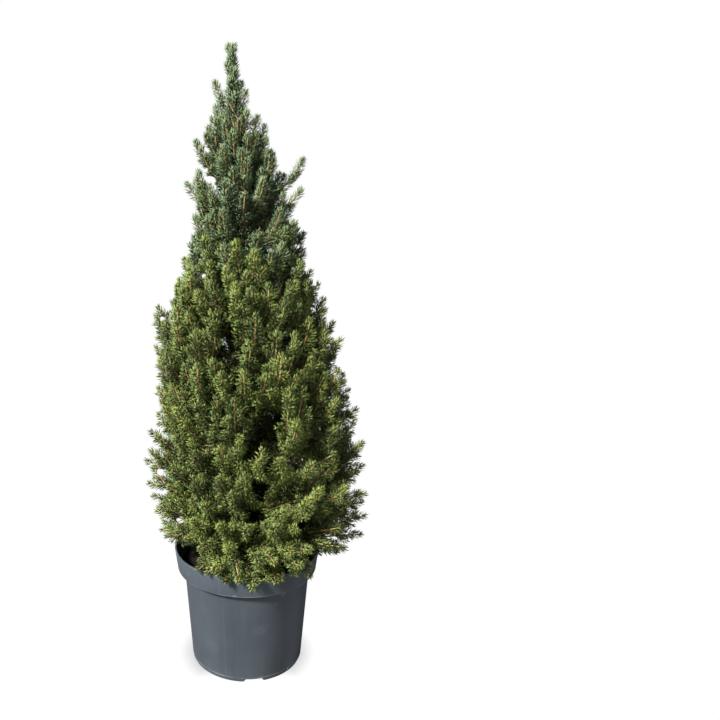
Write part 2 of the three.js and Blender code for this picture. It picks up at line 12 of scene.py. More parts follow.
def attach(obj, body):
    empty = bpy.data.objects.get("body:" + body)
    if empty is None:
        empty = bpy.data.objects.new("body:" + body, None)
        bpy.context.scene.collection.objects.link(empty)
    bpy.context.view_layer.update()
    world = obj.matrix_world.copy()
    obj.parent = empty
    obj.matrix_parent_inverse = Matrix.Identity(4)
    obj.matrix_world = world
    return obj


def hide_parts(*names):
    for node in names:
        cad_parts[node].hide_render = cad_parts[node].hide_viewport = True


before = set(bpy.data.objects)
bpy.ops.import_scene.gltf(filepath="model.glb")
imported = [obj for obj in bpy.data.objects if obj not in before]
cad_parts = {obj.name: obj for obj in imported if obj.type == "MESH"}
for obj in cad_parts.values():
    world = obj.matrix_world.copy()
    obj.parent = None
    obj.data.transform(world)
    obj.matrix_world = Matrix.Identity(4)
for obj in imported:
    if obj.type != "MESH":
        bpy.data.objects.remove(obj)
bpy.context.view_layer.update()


# Pot. A nursery pot moulded in one piece from slate-grey plastic: a tapered wall under a wide
# collar to lift it by, and a foot ring with four notches that let the water out from under it.
POT_HEIGHT = 0.212
RIM_RADIUS = 0.130
COLLAR_RADIUS = 0.125
COLLAR_FOOT = 0.175
SHOULDER_RADIUS = 0.113
FOOT_RADIUS = 0.100
COLLAR_BEVEL = 0.001
FOOT_BEVEL = 0.002
FOOT_CREASE = 0.008
FOOT_RING_INSIDE = 0.088
PAD_RADIUS = 0.046
CHANNEL_DEPTH = 0.005
CHANNEL_SLANT = 0.003
WALL = 0.0026
FLOOR = 0.0076
INSIDE_BEVEL = 0.004
INSIDE_SLANT = 0.002
NOTCH_TURN = math.radians(-83.1)
NOTCH_HEIGHT = 0.006
NOTCH_FOOT = -0.0005
NOTCH_WIDTH = 0.037
NOTCH_TOP_WIDTH = 0.028
NOTCH_REACH = 0.024
NOTCH_PAST_FOOT = 0.004
DRAIN_RADIUS = 0.005
DRAIN_REACH = 0.068
EDGE_ROUNDING = 0.0007
ROUNDED_FROM = math.radians(28)
SEAM_TURN = math.radians(-111.5)
SEAM_HALF_TURN = 0.006
POT_ROUGHNESS = (0.42, 0.58)
SLATE_DARK = (0.057, 0.070, 0.083)
SLATE_LIGHT = (0.079, 0.094, 0.109)
# The pale colour of scuffs, scratches and the seam, and of the painted highlight lines along the edges.
SCUFF_AND_HIGHLIGHT = (0.24, 0.26, 0.27)
DUST = (0.15, 0.145, 0.125)
DUST_HEIGHT = 0.030
DUST_SHARE = 0.35
STREAK_SHARE = 0.05
SCRATCH_SHARE = 0.35
SEAM_SHARE = 0.10
# Height, half the width and strength of the pale lines along the edges: painted highlights where these edges
# catch the light, mottled like plastic worn pale by rubbing.
EDGE_HIGHLIGHTS_AND_WEAR = (
    (COLLAR_FOOT + COLLAR_BEVEL, 0.0011, 0.75),
    (POT_HEIGHT, 0.0008, 0.45),
    (FOOT_CREASE, 0.0011, 0.85),
)
# Place, size and strength of the spots where it has been scraped.
SCRAPES = (
    ((-0.020, -0.1235, 0.1770), 0.0045, 0.90),
    ((0.063, -0.093, 0.166), 0.0080, 0.35),
    ((0.050, -0.099, 0.151), 0.0060, 0.25),
    ((0.024, -0.104, 0.103), 0.0150, 0.13),
    ((-0.062, -0.084, 0.060), 0.0180, 0.07),
)


def turned(outline, steps, start=0.0):
    """A shape turned round the upright axis from its outline of radius and height."""
    shape = bmesh.new()
    corners = [shape.verts.new((r * math.cos(start), r * math.sin(start), z)) for r, z in outline]
    edges = [shape.edges.new(pair) for pair in zip(corners, corners[1:])]
    bmesh.ops.spin(
        shape,
        geom=corners + edges,
        cent=(0, 0, 0),
        axis=(0, 0, 1),
        angle=math.tau,
        steps=steps,
        use_merge=True,
    )
    bmesh.ops.remove_doubles(shape, verts=shape.verts, dist=1e-6)
    bmesh.ops.recalc_face_normals(shape, faces=shape.faces)
    return shape


def mesh_of(name, shape):
    """A mesh made from a shape, which is freed."""
    mesh = bpy.data.meshes.new(name)
    shape.to_mesh(mesh)
    shape.free()
    return mesh


def placed(name, data):
    """A new object in the scene that shows a mesh, a curve, a light or a camera."""
    thing = bpy.data.objects.new(name, data)
    bpy.context.scene.collection.objects.link(thing)
    return thing


def set_out(name, mesh, finishes, slot, *nodes):
    """Puts a finished mesh on the plant in place of the solids that it stands for."""
    piece = placed(name, mesh)
    for finish in finishes:
        mesh.materials.append(finish)
    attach(piece, "root")
    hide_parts(*nodes)
    return piece


def shown_by(thing):
    """The mesh that an object shows, after its modifiers or its bevel."""
    bpy.context.view_layer.update()
    return bpy.data.meshes.new_from_object(thing.evaluated_get(bpy.context.evaluated_depsgraph_get()))


def smoothed(mesh, sharp_degrees):
    """Shades a mesh smooth, but for the edges that bend by more than these degrees."""
    mesh.shade_smooth()
    mesh.set_sharp_from_angle(angle=math.radians(sharp_degrees))


def added(tree, kind, inputs=None, **settings):
    """A new node in a tree, with its settings and the values or links of its inputs."""
    made = tree.nodes.new(kind)
    for name, value in settings.items():
        setattr(made, name, value)
    for name, value in (inputs or {}).items():
        if isinstance(value, bpy.types.NodeSocket):
            tree.links.new(value, made.inputs[name])
        else:
            made.inputs[name].default_value = value
    return made


def mixed(tree, share, first, second):
    """A colour between two, by a share that changes over the surface."""
    colours = [c if isinstance(c, bpy.types.NodeSocket) else (*c, 1) for c in (first, second)]
    inputs = {0: share, 6: colours[0], 7: colours[1]}
    return added(tree, "ShaderNodeMix", inputs, data_type="RGBA").outputs[2]


def darker(colour, share):
    return [part * share for part in colour]


def located(tree):
    """The place on the object as a vector, and its x, y and z."""
    place = added(tree, "ShaderNodeTexCoord").outputs["Object"]
    return place, *added(tree, "ShaderNodeSeparateXYZ", {0: place}).outputs


def reckoned(tree, operation, *values):
    """A number worked out from others over the surface."""
    return added(tree, "ShaderNodeMath", dict(enumerate(values)), operation=operation).outputs[0]


def ranged(tree, value, span, to=(0, 1)):
    """A value moved from one span to another, and kept within it."""
    return added(tree, "ShaderNodeMapRange", dict(enumerate((value, *span, *to)))).outputs[0]


def embossed(tree, shader, height, strength, depth):
    """Gives a surface a fine relief."""
    relief = added(tree, "ShaderNodeBump", {"Height": height, "Strength": strength, "Distance": depth})
    tree.links.new(relief.outputs[0], shader.inputs["Normal"])


def finish_named(name, roughness, specular):
    """A new material with its tree and its main shader."""
    finish = bpy.data.materials.new(name)
    finish.use_nodes = True
    shader = finish.node_tree.nodes["Principled BSDF"]
    shader.inputs["Roughness"].default_value = roughness
    shader.inputs["Specular IOR Level"].default_value = specular
    return finish, finish.node_tree, shader


def mottle_group():
    """Uneven patches: noise stretched along each axis, drawn out into a mask and a height."""
    tree = bpy.data.node_groups.new("mottle", "ShaderNodeTree")
    for name, kind, value in (
        ("Stretch", "NodeSocketVector", (1, 1, 1)),
        ("Size", "NodeSocketFloat", 20),
        ("Low", "NodeSocketFloat", 0.4),
        ("High", "NodeSocketFloat", 0.6),
    ):
        tree.interface.new_socket(name, in_out="INPUT", socket_type=kind).default_value = value
    for name in ("Mask", "Height"):
        tree.interface.new_socket(name, in_out="OUTPUT", socket_type="NodeSocketFloat")
    given = tree.nodes.new("NodeGroupInput").outputs
    place = added(tree, "ShaderNodeTexCoord").outputs["Object"]
    spread = added(tree, "ShaderNodeVectorMath", {0: place, 1: given["Stretch"]}, operation="MULTIPLY")
    inputs = {"Vector": spread.outputs[0], "Scale": given["Size"], "Detail": 5, "Roughness": 0.55}
    grain = added(tree, "ShaderNodeTexNoise", inputs).outputs["Fac"]
    mask = ranged(tree, grain, (given["Low"], given["High"]))
    added(tree, "NodeGroupOutput", {"Mask": mask, "Height": grain})
    return tree


mottle = mottle_group()


def mottled(tree, size, low=0, high=1, stretch=(1, 1, 1)):
    """The outputs of a mottle group placed in a material."""
    inputs = {"Stretch": stretch, "Size": size, "Low": low, "High": high}
    return added(tree, "ShaderNodeGroup", inputs, node_tree=mottle).outputs


def moulded_plastic():
    """Cloudy matt plastic, worn pale along its mould seam, with pale lines along its edges that are painted
    highlights as well as wear, and dusty low down.
    """
    finish, tree, shader = finish_named("slate_plastic", roughness=0.5, specular=0.4)
    place, x, y, z = located(tree)

    def marked(colour, mask, share, mark=SCUFF_AND_HIGHLIGHT):
        """The colour with marks on it where a mask lets them through."""
        return mixed(tree, reckoned(tree, "MULTIPLY", mask, share), colour, mark)

    cloudy = mottled(tree, size=9, low=0.38, high=0.64, stretch=(1, 1, 0.6))["Mask"]
    colour = mixed(tree, cloudy, SLATE_DARK, SLATE_LIGHT)
    streaks = mottled(tree, size=130, low=0.40, high=0.80, stretch=(1, 1, 0.03))["Mask"]
    colour = marked(colour, streaks, STREAK_SHARE)
    scratches = mottled(tree, size=45, low=0.70, high=0.76, stretch=(1, 1, 5))["Mask"]
    colour = marked(colour, scratches, SCRATCH_SHARE)
    dusty = mottled(tree, size=60, low=0.42, high=0.68)["Mask"]
    colour = marked(colour, ranged(tree, z, (DUST_HEIGHT, 0), (0, DUST_SHARE)), dusty, DUST)
    # Pale lines round the collar's foot, the rim and the foot crease: painted highlights where these edges
    # catch the light, broken up by a mottle like wear.
    for height, half_width, strength in EDGE_HIGHLIGHTS_AND_WEAR:
        edge = reckoned(tree, "COMPARE", z, height, half_width)
        highlight_and_wear = mottled(tree, size=25, low=0.36, high=0.60, stretch=(1, 1, 0.2))["Mask"]
        colour = marked(colour, reckoned(tree, "MULTIPLY", edge, highlight_and_wear), strength)
    for spot, size, strength in SCRAPES:
        off = added(tree, "ShaderNodeVectorMath", {0: place, 1: spot}, operation="DISTANCE").outputs["Value"]
        grit = mottled(tree, size=130, low=0.32, high=0.56, stretch=(1, 1, 2.5))["Mask"]
        colour = marked(colour, ranged(tree, off, (size, size * 0.4), (0, strength)), grit)
    turn = reckoned(tree, "ARCTAN2", y, x)
    seam = reckoned(tree, "COMPARE", turn, SEAM_TURN, SEAM_HALF_TURN)
    tree.links.new(marked(colour, seam, SEAM_SHARE), shader.inputs["Base Color"])
    polish = mottled(tree, size=30, low=0.3, high=0.7, stretch=(1, 1, 0.3))["Mask"]
    tree.links.new(ranged(tree, polish, (0, 1), POT_ROUGHNESS), shader.inputs["Roughness"])
    grain = mottled(tree, size=420)["Height"]
    embossed(tree, shader, reckoned(tree, "ADD", seam, grain), strength=0.25, depth=0.0005)
    return finish


POT_OUTLINE = (
    (0, 0),
    (PAD_RADIUS, 0),
    (PAD_RADIUS + CHANNEL_SLANT, CHANNEL_DEPTH),
    (FOOT_RING_INSIDE, CHANNEL_DEPTH),
    (FOOT_RING_INSIDE + CHANNEL_SLANT, 0),
    (FOOT_RADIUS - FOOT_BEVEL, 0),
    (FOOT_RADIUS, FOOT_BEVEL * 2),
    (SHOULDER_RADIUS, COLLAR_FOOT),
    (COLLAR_RADIUS - COLLAR_BEVEL, COLLAR_FOOT),
    (COLLAR_RADIUS, COLLAR_FOOT + COLLAR_BEVEL),
    (RIM_RADIUS, POT_HEIGHT),
    (RIM_RADIUS - WALL, POT_HEIGHT),
    (COLLAR_RADIUS - WALL, COLLAR_FOOT + WALL + INSIDE_SLANT),
    (SHOULDER_RADIUS - WALL, COLLAR_FOOT + WALL),
    (FOOT_RADIUS - WALL, FLOOR + INSIDE_BEVEL),
    (FOOT_RADIUS - WALL - INSIDE_BEVEL, FLOOR),
    (0, FLOOR),
)


def cutter_shape():
    """The cutters of the four foot notches, and of a drain hole between each two of them."""
    shape = bmesh.new()
    for quarter in range(4):
        turn = NOTCH_TURN + quarter * math.pi / 2
        block = bmesh.ops.create_cube(shape, size=1)["verts"]
        for corner in block:
            side = math.copysign(0.5, corner.co.y)
            width, height = (NOTCH_TOP_WIDTH, NOTCH_HEIGHT) if corner.co.z > 0 else (NOTCH_WIDTH, NOTCH_FOOT)
            outward = FOOT_RADIUS - NOTCH_REACH / 2 + NOTCH_PAST_FOOT + corner.co.x * NOTCH_REACH
            corner.co = (outward, side * width, height)
        bmesh.ops.rotate(shape, verts=block, matrix=Matrix.Rotation(turn, 3, "Z"))
        rod = bmesh.ops.create_cone(
            shape,
            cap_ends=True,
            segments=24,
            radius1=DRAIN_RADIUS,
            radius2=DRAIN_RADIUS,
            depth=0.03,
        )["verts"]
        between = turn + math.pi / 4
        middle = Vector((math.cos(between), math.sin(between), 0)) * DRAIN_REACH
        bmesh.ops.translate(shape, verts=rod, vec=middle)
    return shape


pot = set_out("nursery_pot", mesh_of("nursery_pot", turned(POT_OUTLINE, steps=128)), [], "pot", "pot")
cutter = placed("cutter", mesh_of("cutter", cutter_shape()))
holes = pot.modifiers.new("holes", "BOOLEAN")
holes.object = cutter
rounding = pot.modifiers.new("rounding", "BEVEL")
rounding.width = EDGE_ROUNDING
rounding.segments = 2
rounding.limit_method = "ANGLE"
rounding.angle_limit = ROUNDED_FROM
made = shown_by(pot)
pot.modifiers.clear()
pot.data = made
bpy.data.objects.remove(cutter)
pot.data.materials.append(moulded_plastic())
smoothed(pot.data, sharp_degrees=30)


# Compost. Dark peat that fills the pot to a little above the step under the collar, with
# crumbs of peat and a few chips of bark lying on it, tipped in loose and settled by watering.
SOIL_TOP = 0.183
SOIL_CLEARANCE = 0.0003
SOIL_RADIUS = 0.1191
PEAT_DARK = (0.007, 0.005, 0.004)
PEAT_LIGHT = (0.018, 0.012, 0.008)
CHIP = (0.055, 0.036, 0.020)
SOIL_RINGS = 30
LUMPS_PER_METRE = 70
LUMP_HEIGHT = 0.0018
LUMP_SINK = 0.0025
CRUMBS = 900
CRUMB_REACH = 0.97
CRUMB_SIZE = (0.0007, 0.0022)
CRUMB_SQUASH = (0.6, 1.4)
CRUMB_SUNK = 0.3
CRUMB_TOP = 0.0015


def peat():
    """Damp crumbly peat with paler fibres in it."""
    finish, tree, shader = finish_named("peat", roughness=0.95, specular=0.2)
    damp = mottled(tree, size=90, low=0.38, high=0.66)["Mask"]
    colour = mixed(tree, damp, PEAT_DARK, PEAT_LIGHT)
    fibres = mottled(tree, size=600, low=0.62, high=0.72, stretch=(1, 0.2, 1))["Mask"]
    tree.links.new(mixed(tree, fibres, colour, CHIP), shader.inputs["Base Color"])
    embossed(tree, shader, mottled(tree, size=700)["Height"], strength=0.8, depth=0.002)
    return finish


def peat_height(x, y):
    """The height of the lumpy peat at a place."""
    lumps = noise.fractal(Vector((x, y, 0.3)) * LUMPS_PER_METRE, 0.8, 2.1, 4)
    return SOIL_TOP - LUMP_SINK + LUMP_HEIGHT * lumps


def soil_shape():
    """The compost: its outline, just clear of the pot, turned and then made lumpy on top."""
    wall = WALL + SOIL_CLEARANCE
    outline = [
        (0, FLOOR + SOIL_CLEARANCE),
        (FOOT_RADIUS - wall - INSIDE_BEVEL, FLOOR + SOIL_CLEARANCE),
        (FOOT_RADIUS - wall, FLOOR + SOIL_CLEARANCE + INSIDE_BEVEL),
        (SHOULDER_RADIUS - wall, COLLAR_FOOT + wall),
        (SOIL_RADIUS, COLLAR_FOOT + wall + INSIDE_SLANT),
    ]
    outline += [(SOIL_RADIUS * share, SOIL_TOP) for share in np.linspace(1, 0, SOIL_RINGS)]
    shape = turned(outline, steps=96)
    for corner in shape.verts:
        if corner.co.z > SOIL_TOP - 1e-6:
            corner.co.z = peat_height(corner.co.x, corner.co.y)
    return shape


def scatter_crumbs(shape, random):
    """Crumbs and chips, each a squashed lump of twenty faces, sunk a little into the peat."""
    for _ in range(CRUMBS):
        reach = SOIL_RADIUS * CRUMB_REACH * math.sqrt(random.uniform(0.03, 1))
        turn = random.uniform(0, math.tau)
        x, y = reach * math.cos(turn), reach * math.sin(turn)
        size = random.uniform(*CRUMB_SIZE)
        lump = bmesh.ops.create_icosphere(shape, subdivisions=1, radius=size)["verts"]
        bmesh.ops.scale(shape, verts=lump, vec=random.uniform(*CRUMB_SQUASH, 3))
        bmesh.ops.translate(shape, verts=lump, vec=(x, y, peat_height(x, y) + size * CRUMB_SUNK))
        for corner in lump:
            corner.co.z = min(corner.co.z, SOIL_TOP + CRUMB_TOP)
    return shape


random = np.random.default_rng(31)
compost = mesh_of("compost", scatter_crumbs(soil_shape(), random))
set_out("compost", compost, [peat()], "soil", "soil")
smoothed(compost, sharp_degrees=45)


# Trunk. One straight leader with scaly bark, grey brown below and orange tan where it is young,
# flared at the compost and cut flat there. The crown is measured from its line.
TREE_TIP = 1.066
TRUNK_TIP = 0.984
TOP_LEAN = -0.026
SWAY = 0.005
TRUNK_GIRTH = (0.011, 0.002)
TRUNK_POINTS = 220
FLARE = 0.006
FLARE_HEIGHT = 0.012
TRUNK_SCALES = (0.0008, 190)
SCALE_STRETCH = 0.45
BARK_OLD = (0.115, 0.080, 0.055)
BARK_GREY = (0.210, 0.165, 0.125)
BARK_YOUNG = (0.540, 0.330, 0.135)


def along_trunk(height):
    """The middle of the trunk at a height: it leans, and sways a little on its way."""
    rise = (height - SOIL_TOP) / (TREE_TIP - SOIL_TOP)
    return np.array((TOP_LEAN * rise**2, SWAY * math.sin(rise * math.tau), height))


def trunk_radius(height):
    """The trunk's radius at a height, with the flare at its foot."""
    rise = np.clip((height - SOIL_TOP) / (TRUNK_TIP - SOIL_TOP), 0, 1)
    return np.interp(rise, (0, 1), TRUNK_GIRTH) + FLARE * math.exp((SOIL_TOP - height) / FLARE_HEIGHT)


def rods(name, lines, girths, rounds):
    """Tapering rods along lines of points, with a radius at each, made from one bevelled curve."""
    curve = bpy.data.curves.new(name, "CURVE")
    curve.dimensions = "3D"
    curve.bevel_depth = 1
    curve.bevel_resolution = rounds
    curve.use_fill_caps = True
    for line, girth in zip(lines, girths):
        spline = curve.splines.new("POLY")
        spline.points.add(len(line) - 1)
        places = np.hstack([line, np.ones((len(line), 1))])
        spline.points.foreach_set("co", places.ravel().astype(np.float32))
        spline.points.foreach_set("radius", np.asarray(girth, np.float32))
    holder = placed(name, curve)
    shape = bmesh.new()
    shape.from_mesh(shown_by(holder))
    bpy.data.objects.remove(holder)
    bmesh.ops.remove_doubles(shape, verts=shape.verts, dist=1e-5)
    bmesh.ops.recalc_face_normals(shape, faces=shape.faces)
    return shape


def roughen(shape, depth, per_metre):
    """Raises scales of bark: moves each point along its normal by stretched noise."""
    for corner in shape.verts:
        place = Vector((corner.co.x, corner.co.y, corner.co.z * SCALE_STRETCH)) * per_metre
        corner.co += corner.normal * depth * noise.fractal(place, 0.7, 2.2, 3)
    return shape


def bark(name, young_from, young_at):
    """Bark that is old and grey at one height and young and tan at another."""
    finish, tree, shader = finish_named(name, roughness=0.85, specular=0.25)
    z = located(tree)[3]
    scales = mottled(tree, size=260, low=0.36, high=0.62, stretch=(1, 1, 0.5))["Mask"]
    old = mixed(tree, scales, BARK_OLD, BARK_GREY)
    young = mixed(tree, scales, darker(BARK_YOUNG, 0.6), BARK_YOUNG)
    youth = ranged(tree, z, (young_from, young_at))
    tree.links.new(mixed(tree, youth, old, young), shader.inputs["Base Color"])
    grain = mottled(tree, size=700, stretch=(1, 1, 0.4))["Height"]
    embossed(tree, shader, grain, strength=0.7, depth=0.001)
    return finish


heights = np.linspace(SOIL_TOP + SOIL_CLEARANCE, TRUNK_TIP, TRUNK_POINTS)
line = [along_trunk(height) for height in heights]
girth = [trunk_radius(height) for height in heights]
shape = roughen(rods("trunk", [line], [girth], rounds=5), *TRUNK_SCALES)
for corner in shape.verts:
    corner.co.z = max(corner.co.z, SOIL_TOP + SOIL_CLEARANCE)
trunk = mesh_of("trunk_bark", shape)
set_out("trunk_bark", trunk, [bark("trunk_bark", young_from=0.45, young_at=0.85)], "bark", "trunk")
smoothed(trunk, sharp_degrees=60)


# Boughs. Limbs with the same bark, one to each mass of foliage: they leave the trunk in tiers,
# each tier starting on a rising cone, and thin out through their mass to where its shoots begin.
Mass = namedtuple("Mass", "tier number turn half_turn stem")
# Of each tier: its number of masses, the first one's turn, the height and slope of its lower side,
# and the share of the stem's reach at which the mass begins.
Tier = namedtuple("Tier", "masses turn foot slope inner")
TIERS = (
    Tier(6, 30, 0.215, 0, 0.30),
    Tier(6, 12, 0.249, 14, 0.28),
    Tier(5, 40, 0.313, 30, 0.28),
    Tier(5, 0, 0.401, 42, 0.26),
    Tier(4, 20, 0.487, 55, 0.14),
    Tier(3, 40, 0.640, 60, 0.14),
    Tier(2, 100, 0.780, 64, 0.14),
    Tier(1, 0, 0.972, 64, 0),
)
LEADER = len(TIERS) - 1
BOUGH_TIERS = 4
BOUGH_GIRTH = 0.0052
BOUGH_THINNING = 0.86
BOUGH_SCALES = (0.0004, 260)
STEM_TIP_GIRTH = 0.0014
STEM_LEAST_REACH = 0.03
STEM_REACH = 0.8
STEM_LEVEL = 0.5
SKIRT_STEM_LEVEL = 0.4
LEADER_FROM = 0.93
LEADER_END = 1.044
RIM_CLEAR_RADIUS = 0.136
SKIRT_FOOT = 0.184
# The crown's outline, and how far its lower part and its shoulder stand out to the right.
OUTLINE_HEIGHTS = (0.188, 0.25, 0.37, 0.45, 0.56, 0.64, 0.7, 0.74, 0.85, 0.905, 0.95, 0.985, 1.01, 1.066)
OUTLINE_RADII = (0.15, 0.178, 0.19, 0.174, 0.158, 0.14, 0.114, 0.096, 0.076, 0.062, 0.04, 0.026, 0.018, 0.008)
BELLY_SHIFT = 0.019
BELLY_TOP = (0.44, 0.62)
SHOULDER_SHIFT = 0.009
SHOULDER_RISE = (0.61, 0.72)
SHOULDER_FALL = (0.78, 0.88)
SEED = 4127


def eased(height, span):
    """Rises smoothly from 0 to 1 over a span of heights."""
    share = np.clip((height - span[0]) / (span[1] - span[0]), 0, 1)
    return share * share * (3 - 2 * share)


def outline_radius(height, turn):
    """The crown's radius at a height, from the trunk's line towards one direction."""
    belly = BELLY_SHIFT * (1 - eased(height, BELLY_TOP))
    shoulder = SHOULDER_SHIFT * eased(height, SHOULDER_RISE) * (1 - eased(height, SHOULDER_FALL))
    return np.interp(height, OUTLINE_HEIGHTS, OUTLINE_RADII) + (belly + shoulder) * math.cos(turn)


def tier_floor(tier, distance):
    """The height of a tier's lower side at a distance from the trunk."""
    if tier == 0:
        return SKIRT_FOOT if distance > RIM_CLEAR_RADIUS else TIERS[0].foot
    return TIERS[tier].foot + distance * math.tan(math.radians(TIERS[tier].slope))


def crown_point(distance, turn, height):
    """A point of the crown, by its place round the trunk's line."""
    return along_trunk(height) + np.array((math.cos(turn) * distance, math.sin(turn) * distance, 0))


def place_of(point):
    """Distance from the trunk's line and direction round it."""
    away = point - along_trunk(point[2])
    return math.hypot(away[0], away[1]), math.atan2(away[1], away[0])


def through(points, steps):
    """A smooth line through a few points, by their distance along it."""
    points = np.array(points)
    gaps = np.linalg.norm(np.diff(points, axis=0), axis=1)
    run = np.concatenate([[0], np.cumsum(gaps)]) / gaps.sum()
    fit = np.polyfit(run, points, min(3, len(points) - 1))
    share = np.linspace(0, 1, steps)
    return np.stack([np.polyval(fit[:, axis], share) for axis in range(3)], axis=1)


def stem_of(tier, turn):
    """The line of a bough and of the stem that goes on from it through the middle of its mass."""
    if tier == LEADER:
        return np.array([along_trunk(height) for height in np.linspace(LEADER_FROM, LEADER_END, 16)])
    level = STEM_LEVEL if tier else SKIRT_STEM_LEVEL

    def height_at(distance):
        return tier_floor(tier, distance) * (1 - level) + tier_floor(tier + 1, distance) * level

    outer = STEM_LEAST_REACH
    while outer < outline_radius(height_at(outer), turn) * STEM_REACH:
        outer += 0.002
    inner = outer * TIERS[tier].inner
    stops = (inner, inner * 0.45 + outer * 0.55, outer)
    points = [along_trunk(height_at(0))] + [crown_point(stop, turn, height_at(stop)) for stop in stops]
    return through(points, steps=24)


masses = []
for tier, size in enumerate(TIERS):
    for number in range(size.masses):
        turn = math.radians(size.turn + number * 360 / size.masses)
        masses.append(Mass(tier, number + 1, turn, math.pi / size.masses, stem_of(tier, turn)))

branched = [mass for mass in masses if mass.tier < LEADER]
lines = [mass.stem for mass in branched]
feet = [BOUGH_GIRTH * BOUGH_THINNING**mass.tier for mass in branched]
girths = [np.linspace(foot, STEM_TIP_GIRTH, len(line)) for foot, line in zip(feet, lines)]
nodes = [f"tier{mass.tier + 1}_bough_{mass.number}" for mass in masses if mass.tier < BOUGH_TIERS]
boughs = mesh_of("boughs", roughen(rods("boughs", lines, girths, rounds=2), *BOUGH_SCALES))
set_out("boughs", boughs, [bark("bough_bark", young_from=0.5, young_at=1.1)], "bark", *nodes)
smoothed(boughs, sharp_degrees=60)


# Shoots. From each stem leading shoots curve out and up to the crown's outline. Side shoots stand
# off them in loose whorls, short near the tip, all of them thin tan twigs that carry needles.
GOLDEN = math.radians(137.5)
# Girths run from foot to tip, distances back from the tip, and crowding is needles to the metre.
Shoot = namedtuple("Shoot", "line girth clad crowding tier tint")
CLIMB_LOW = -42
CLIMB_TIP = 80
CLIMB_RISE = 0.145
# Sizes that change with the crown's radius, from the first of these to the second.
CROWN_RADII = (0.065, 0.170)
TIP_SPACING = (0.027, 0.044)
SHOOT_LENGTH = (0.085, 0.150)
SIDE_MOST = (0.012, 0.032)
SIDE_LEAN = (26, 44)
CLAD_SHARE = (0.85, 0.70)
CROWDING = (2100, 1400)
SIDE_CROWDING = (0.6, 0.66)
# Leading shoots.
REACH_SHARE = (0.86, 1.01)
SPIRE_REACH_SHARE = (0.74, 1.02)
SPIRE_TIERS = (5, 6, 7)
NEEDLE_ROOM = 0.003
SIDE_TIPS_FROM = 0.236
DRAPE_FOOT = 0.208
RANDOM_TIPS_TO = 0.945
DRAPE = (-112, -42)
ROW_SPACING = 0.87
TIP_SCATTER = 0.2
AIM_SCATTER = 9
LEADING_GIRTH = (0.0018, 0.0010)
LEADING_ROOM = 0.010
LEADING_BEND = 0.55
STEM_BARE_POINTS = 3
# Side shoots.
SIDE_GIRTH = (0.0009, 0.0006)
SIDE_LIFT = 0.10
SIDE_SCATTER = 6
SIDE_OVERSHOOT = 0.002
SIDE_LEAST = 0.008
SIDE_GROWTH = 0.25
SIDE_SIZES = (0.7, 1.15)
SHADED_SIDE = -0.35
SAME_TINT_SHARE = 0.6
WHORLS = (0.024, 0.044, 0.066, 0.090, 0.116)
WHORL_SIZE = 3
WHORL_SCATTER = 0.004
TURN_SCATTER = 0.3
WHORL_ROOM = (0.004, 0.012)
SPIRE_WHORLS_FROM = 0.03
RIM_ROOM = (0.004, 0.003)
# Old shoots on the stems and the trunk.
INNER_CROWDING = 580
INNER_SHOOTS = 40
INNER_REACH = 0.84
INNER_CLAD = 0.06
INNER_CLIMB = (-20, 70)
INNER_LENGTH = (0.035, 0.065)
TRUNK_SHOOTS = 320
TRUNK_SHOOTS_SPAN = (SOIL_TOP + 0.05, 0.92)
TRUNK_SHOOT_CLIMB = (10, 60)
TRUNK_SHOOT_LENGTH = (0.05, 0.08)
# How needle colours are dealt: three in the spire, the olives below, brighter low on the right.
SHADE_SHARES = (0.3, 0.45, 0.25)
FIRST_OLIVE = 3
SPIRE_BLUE = (0.66, 0.88)
INNER_BLUE_FROM = 0.65
WARMTH_SCATTER = 0.14
BRIGHT_BELOW = 0.52
BRIGHT_FROM = -0.02
BRIGHT_SHARE = 0.35
# The leader ends in a pair of short shoots, with a spiral of others under it.
LEADER_GIRTH = (0.0024, 0.0013)
LEADER_CLAD = 0.075
LEADER_CROWDING = 4200
LEADER_SPACING = 0.009
LEADER_SIDES = (0.012, 0.11)
LEADER_SIZES = (0.012, 0.024)
LEADER_SIDE_GROWTH = 0.12
LEADER_SIDE_LEAN = math.radians(26)
PAIR_LEAN = 0.35
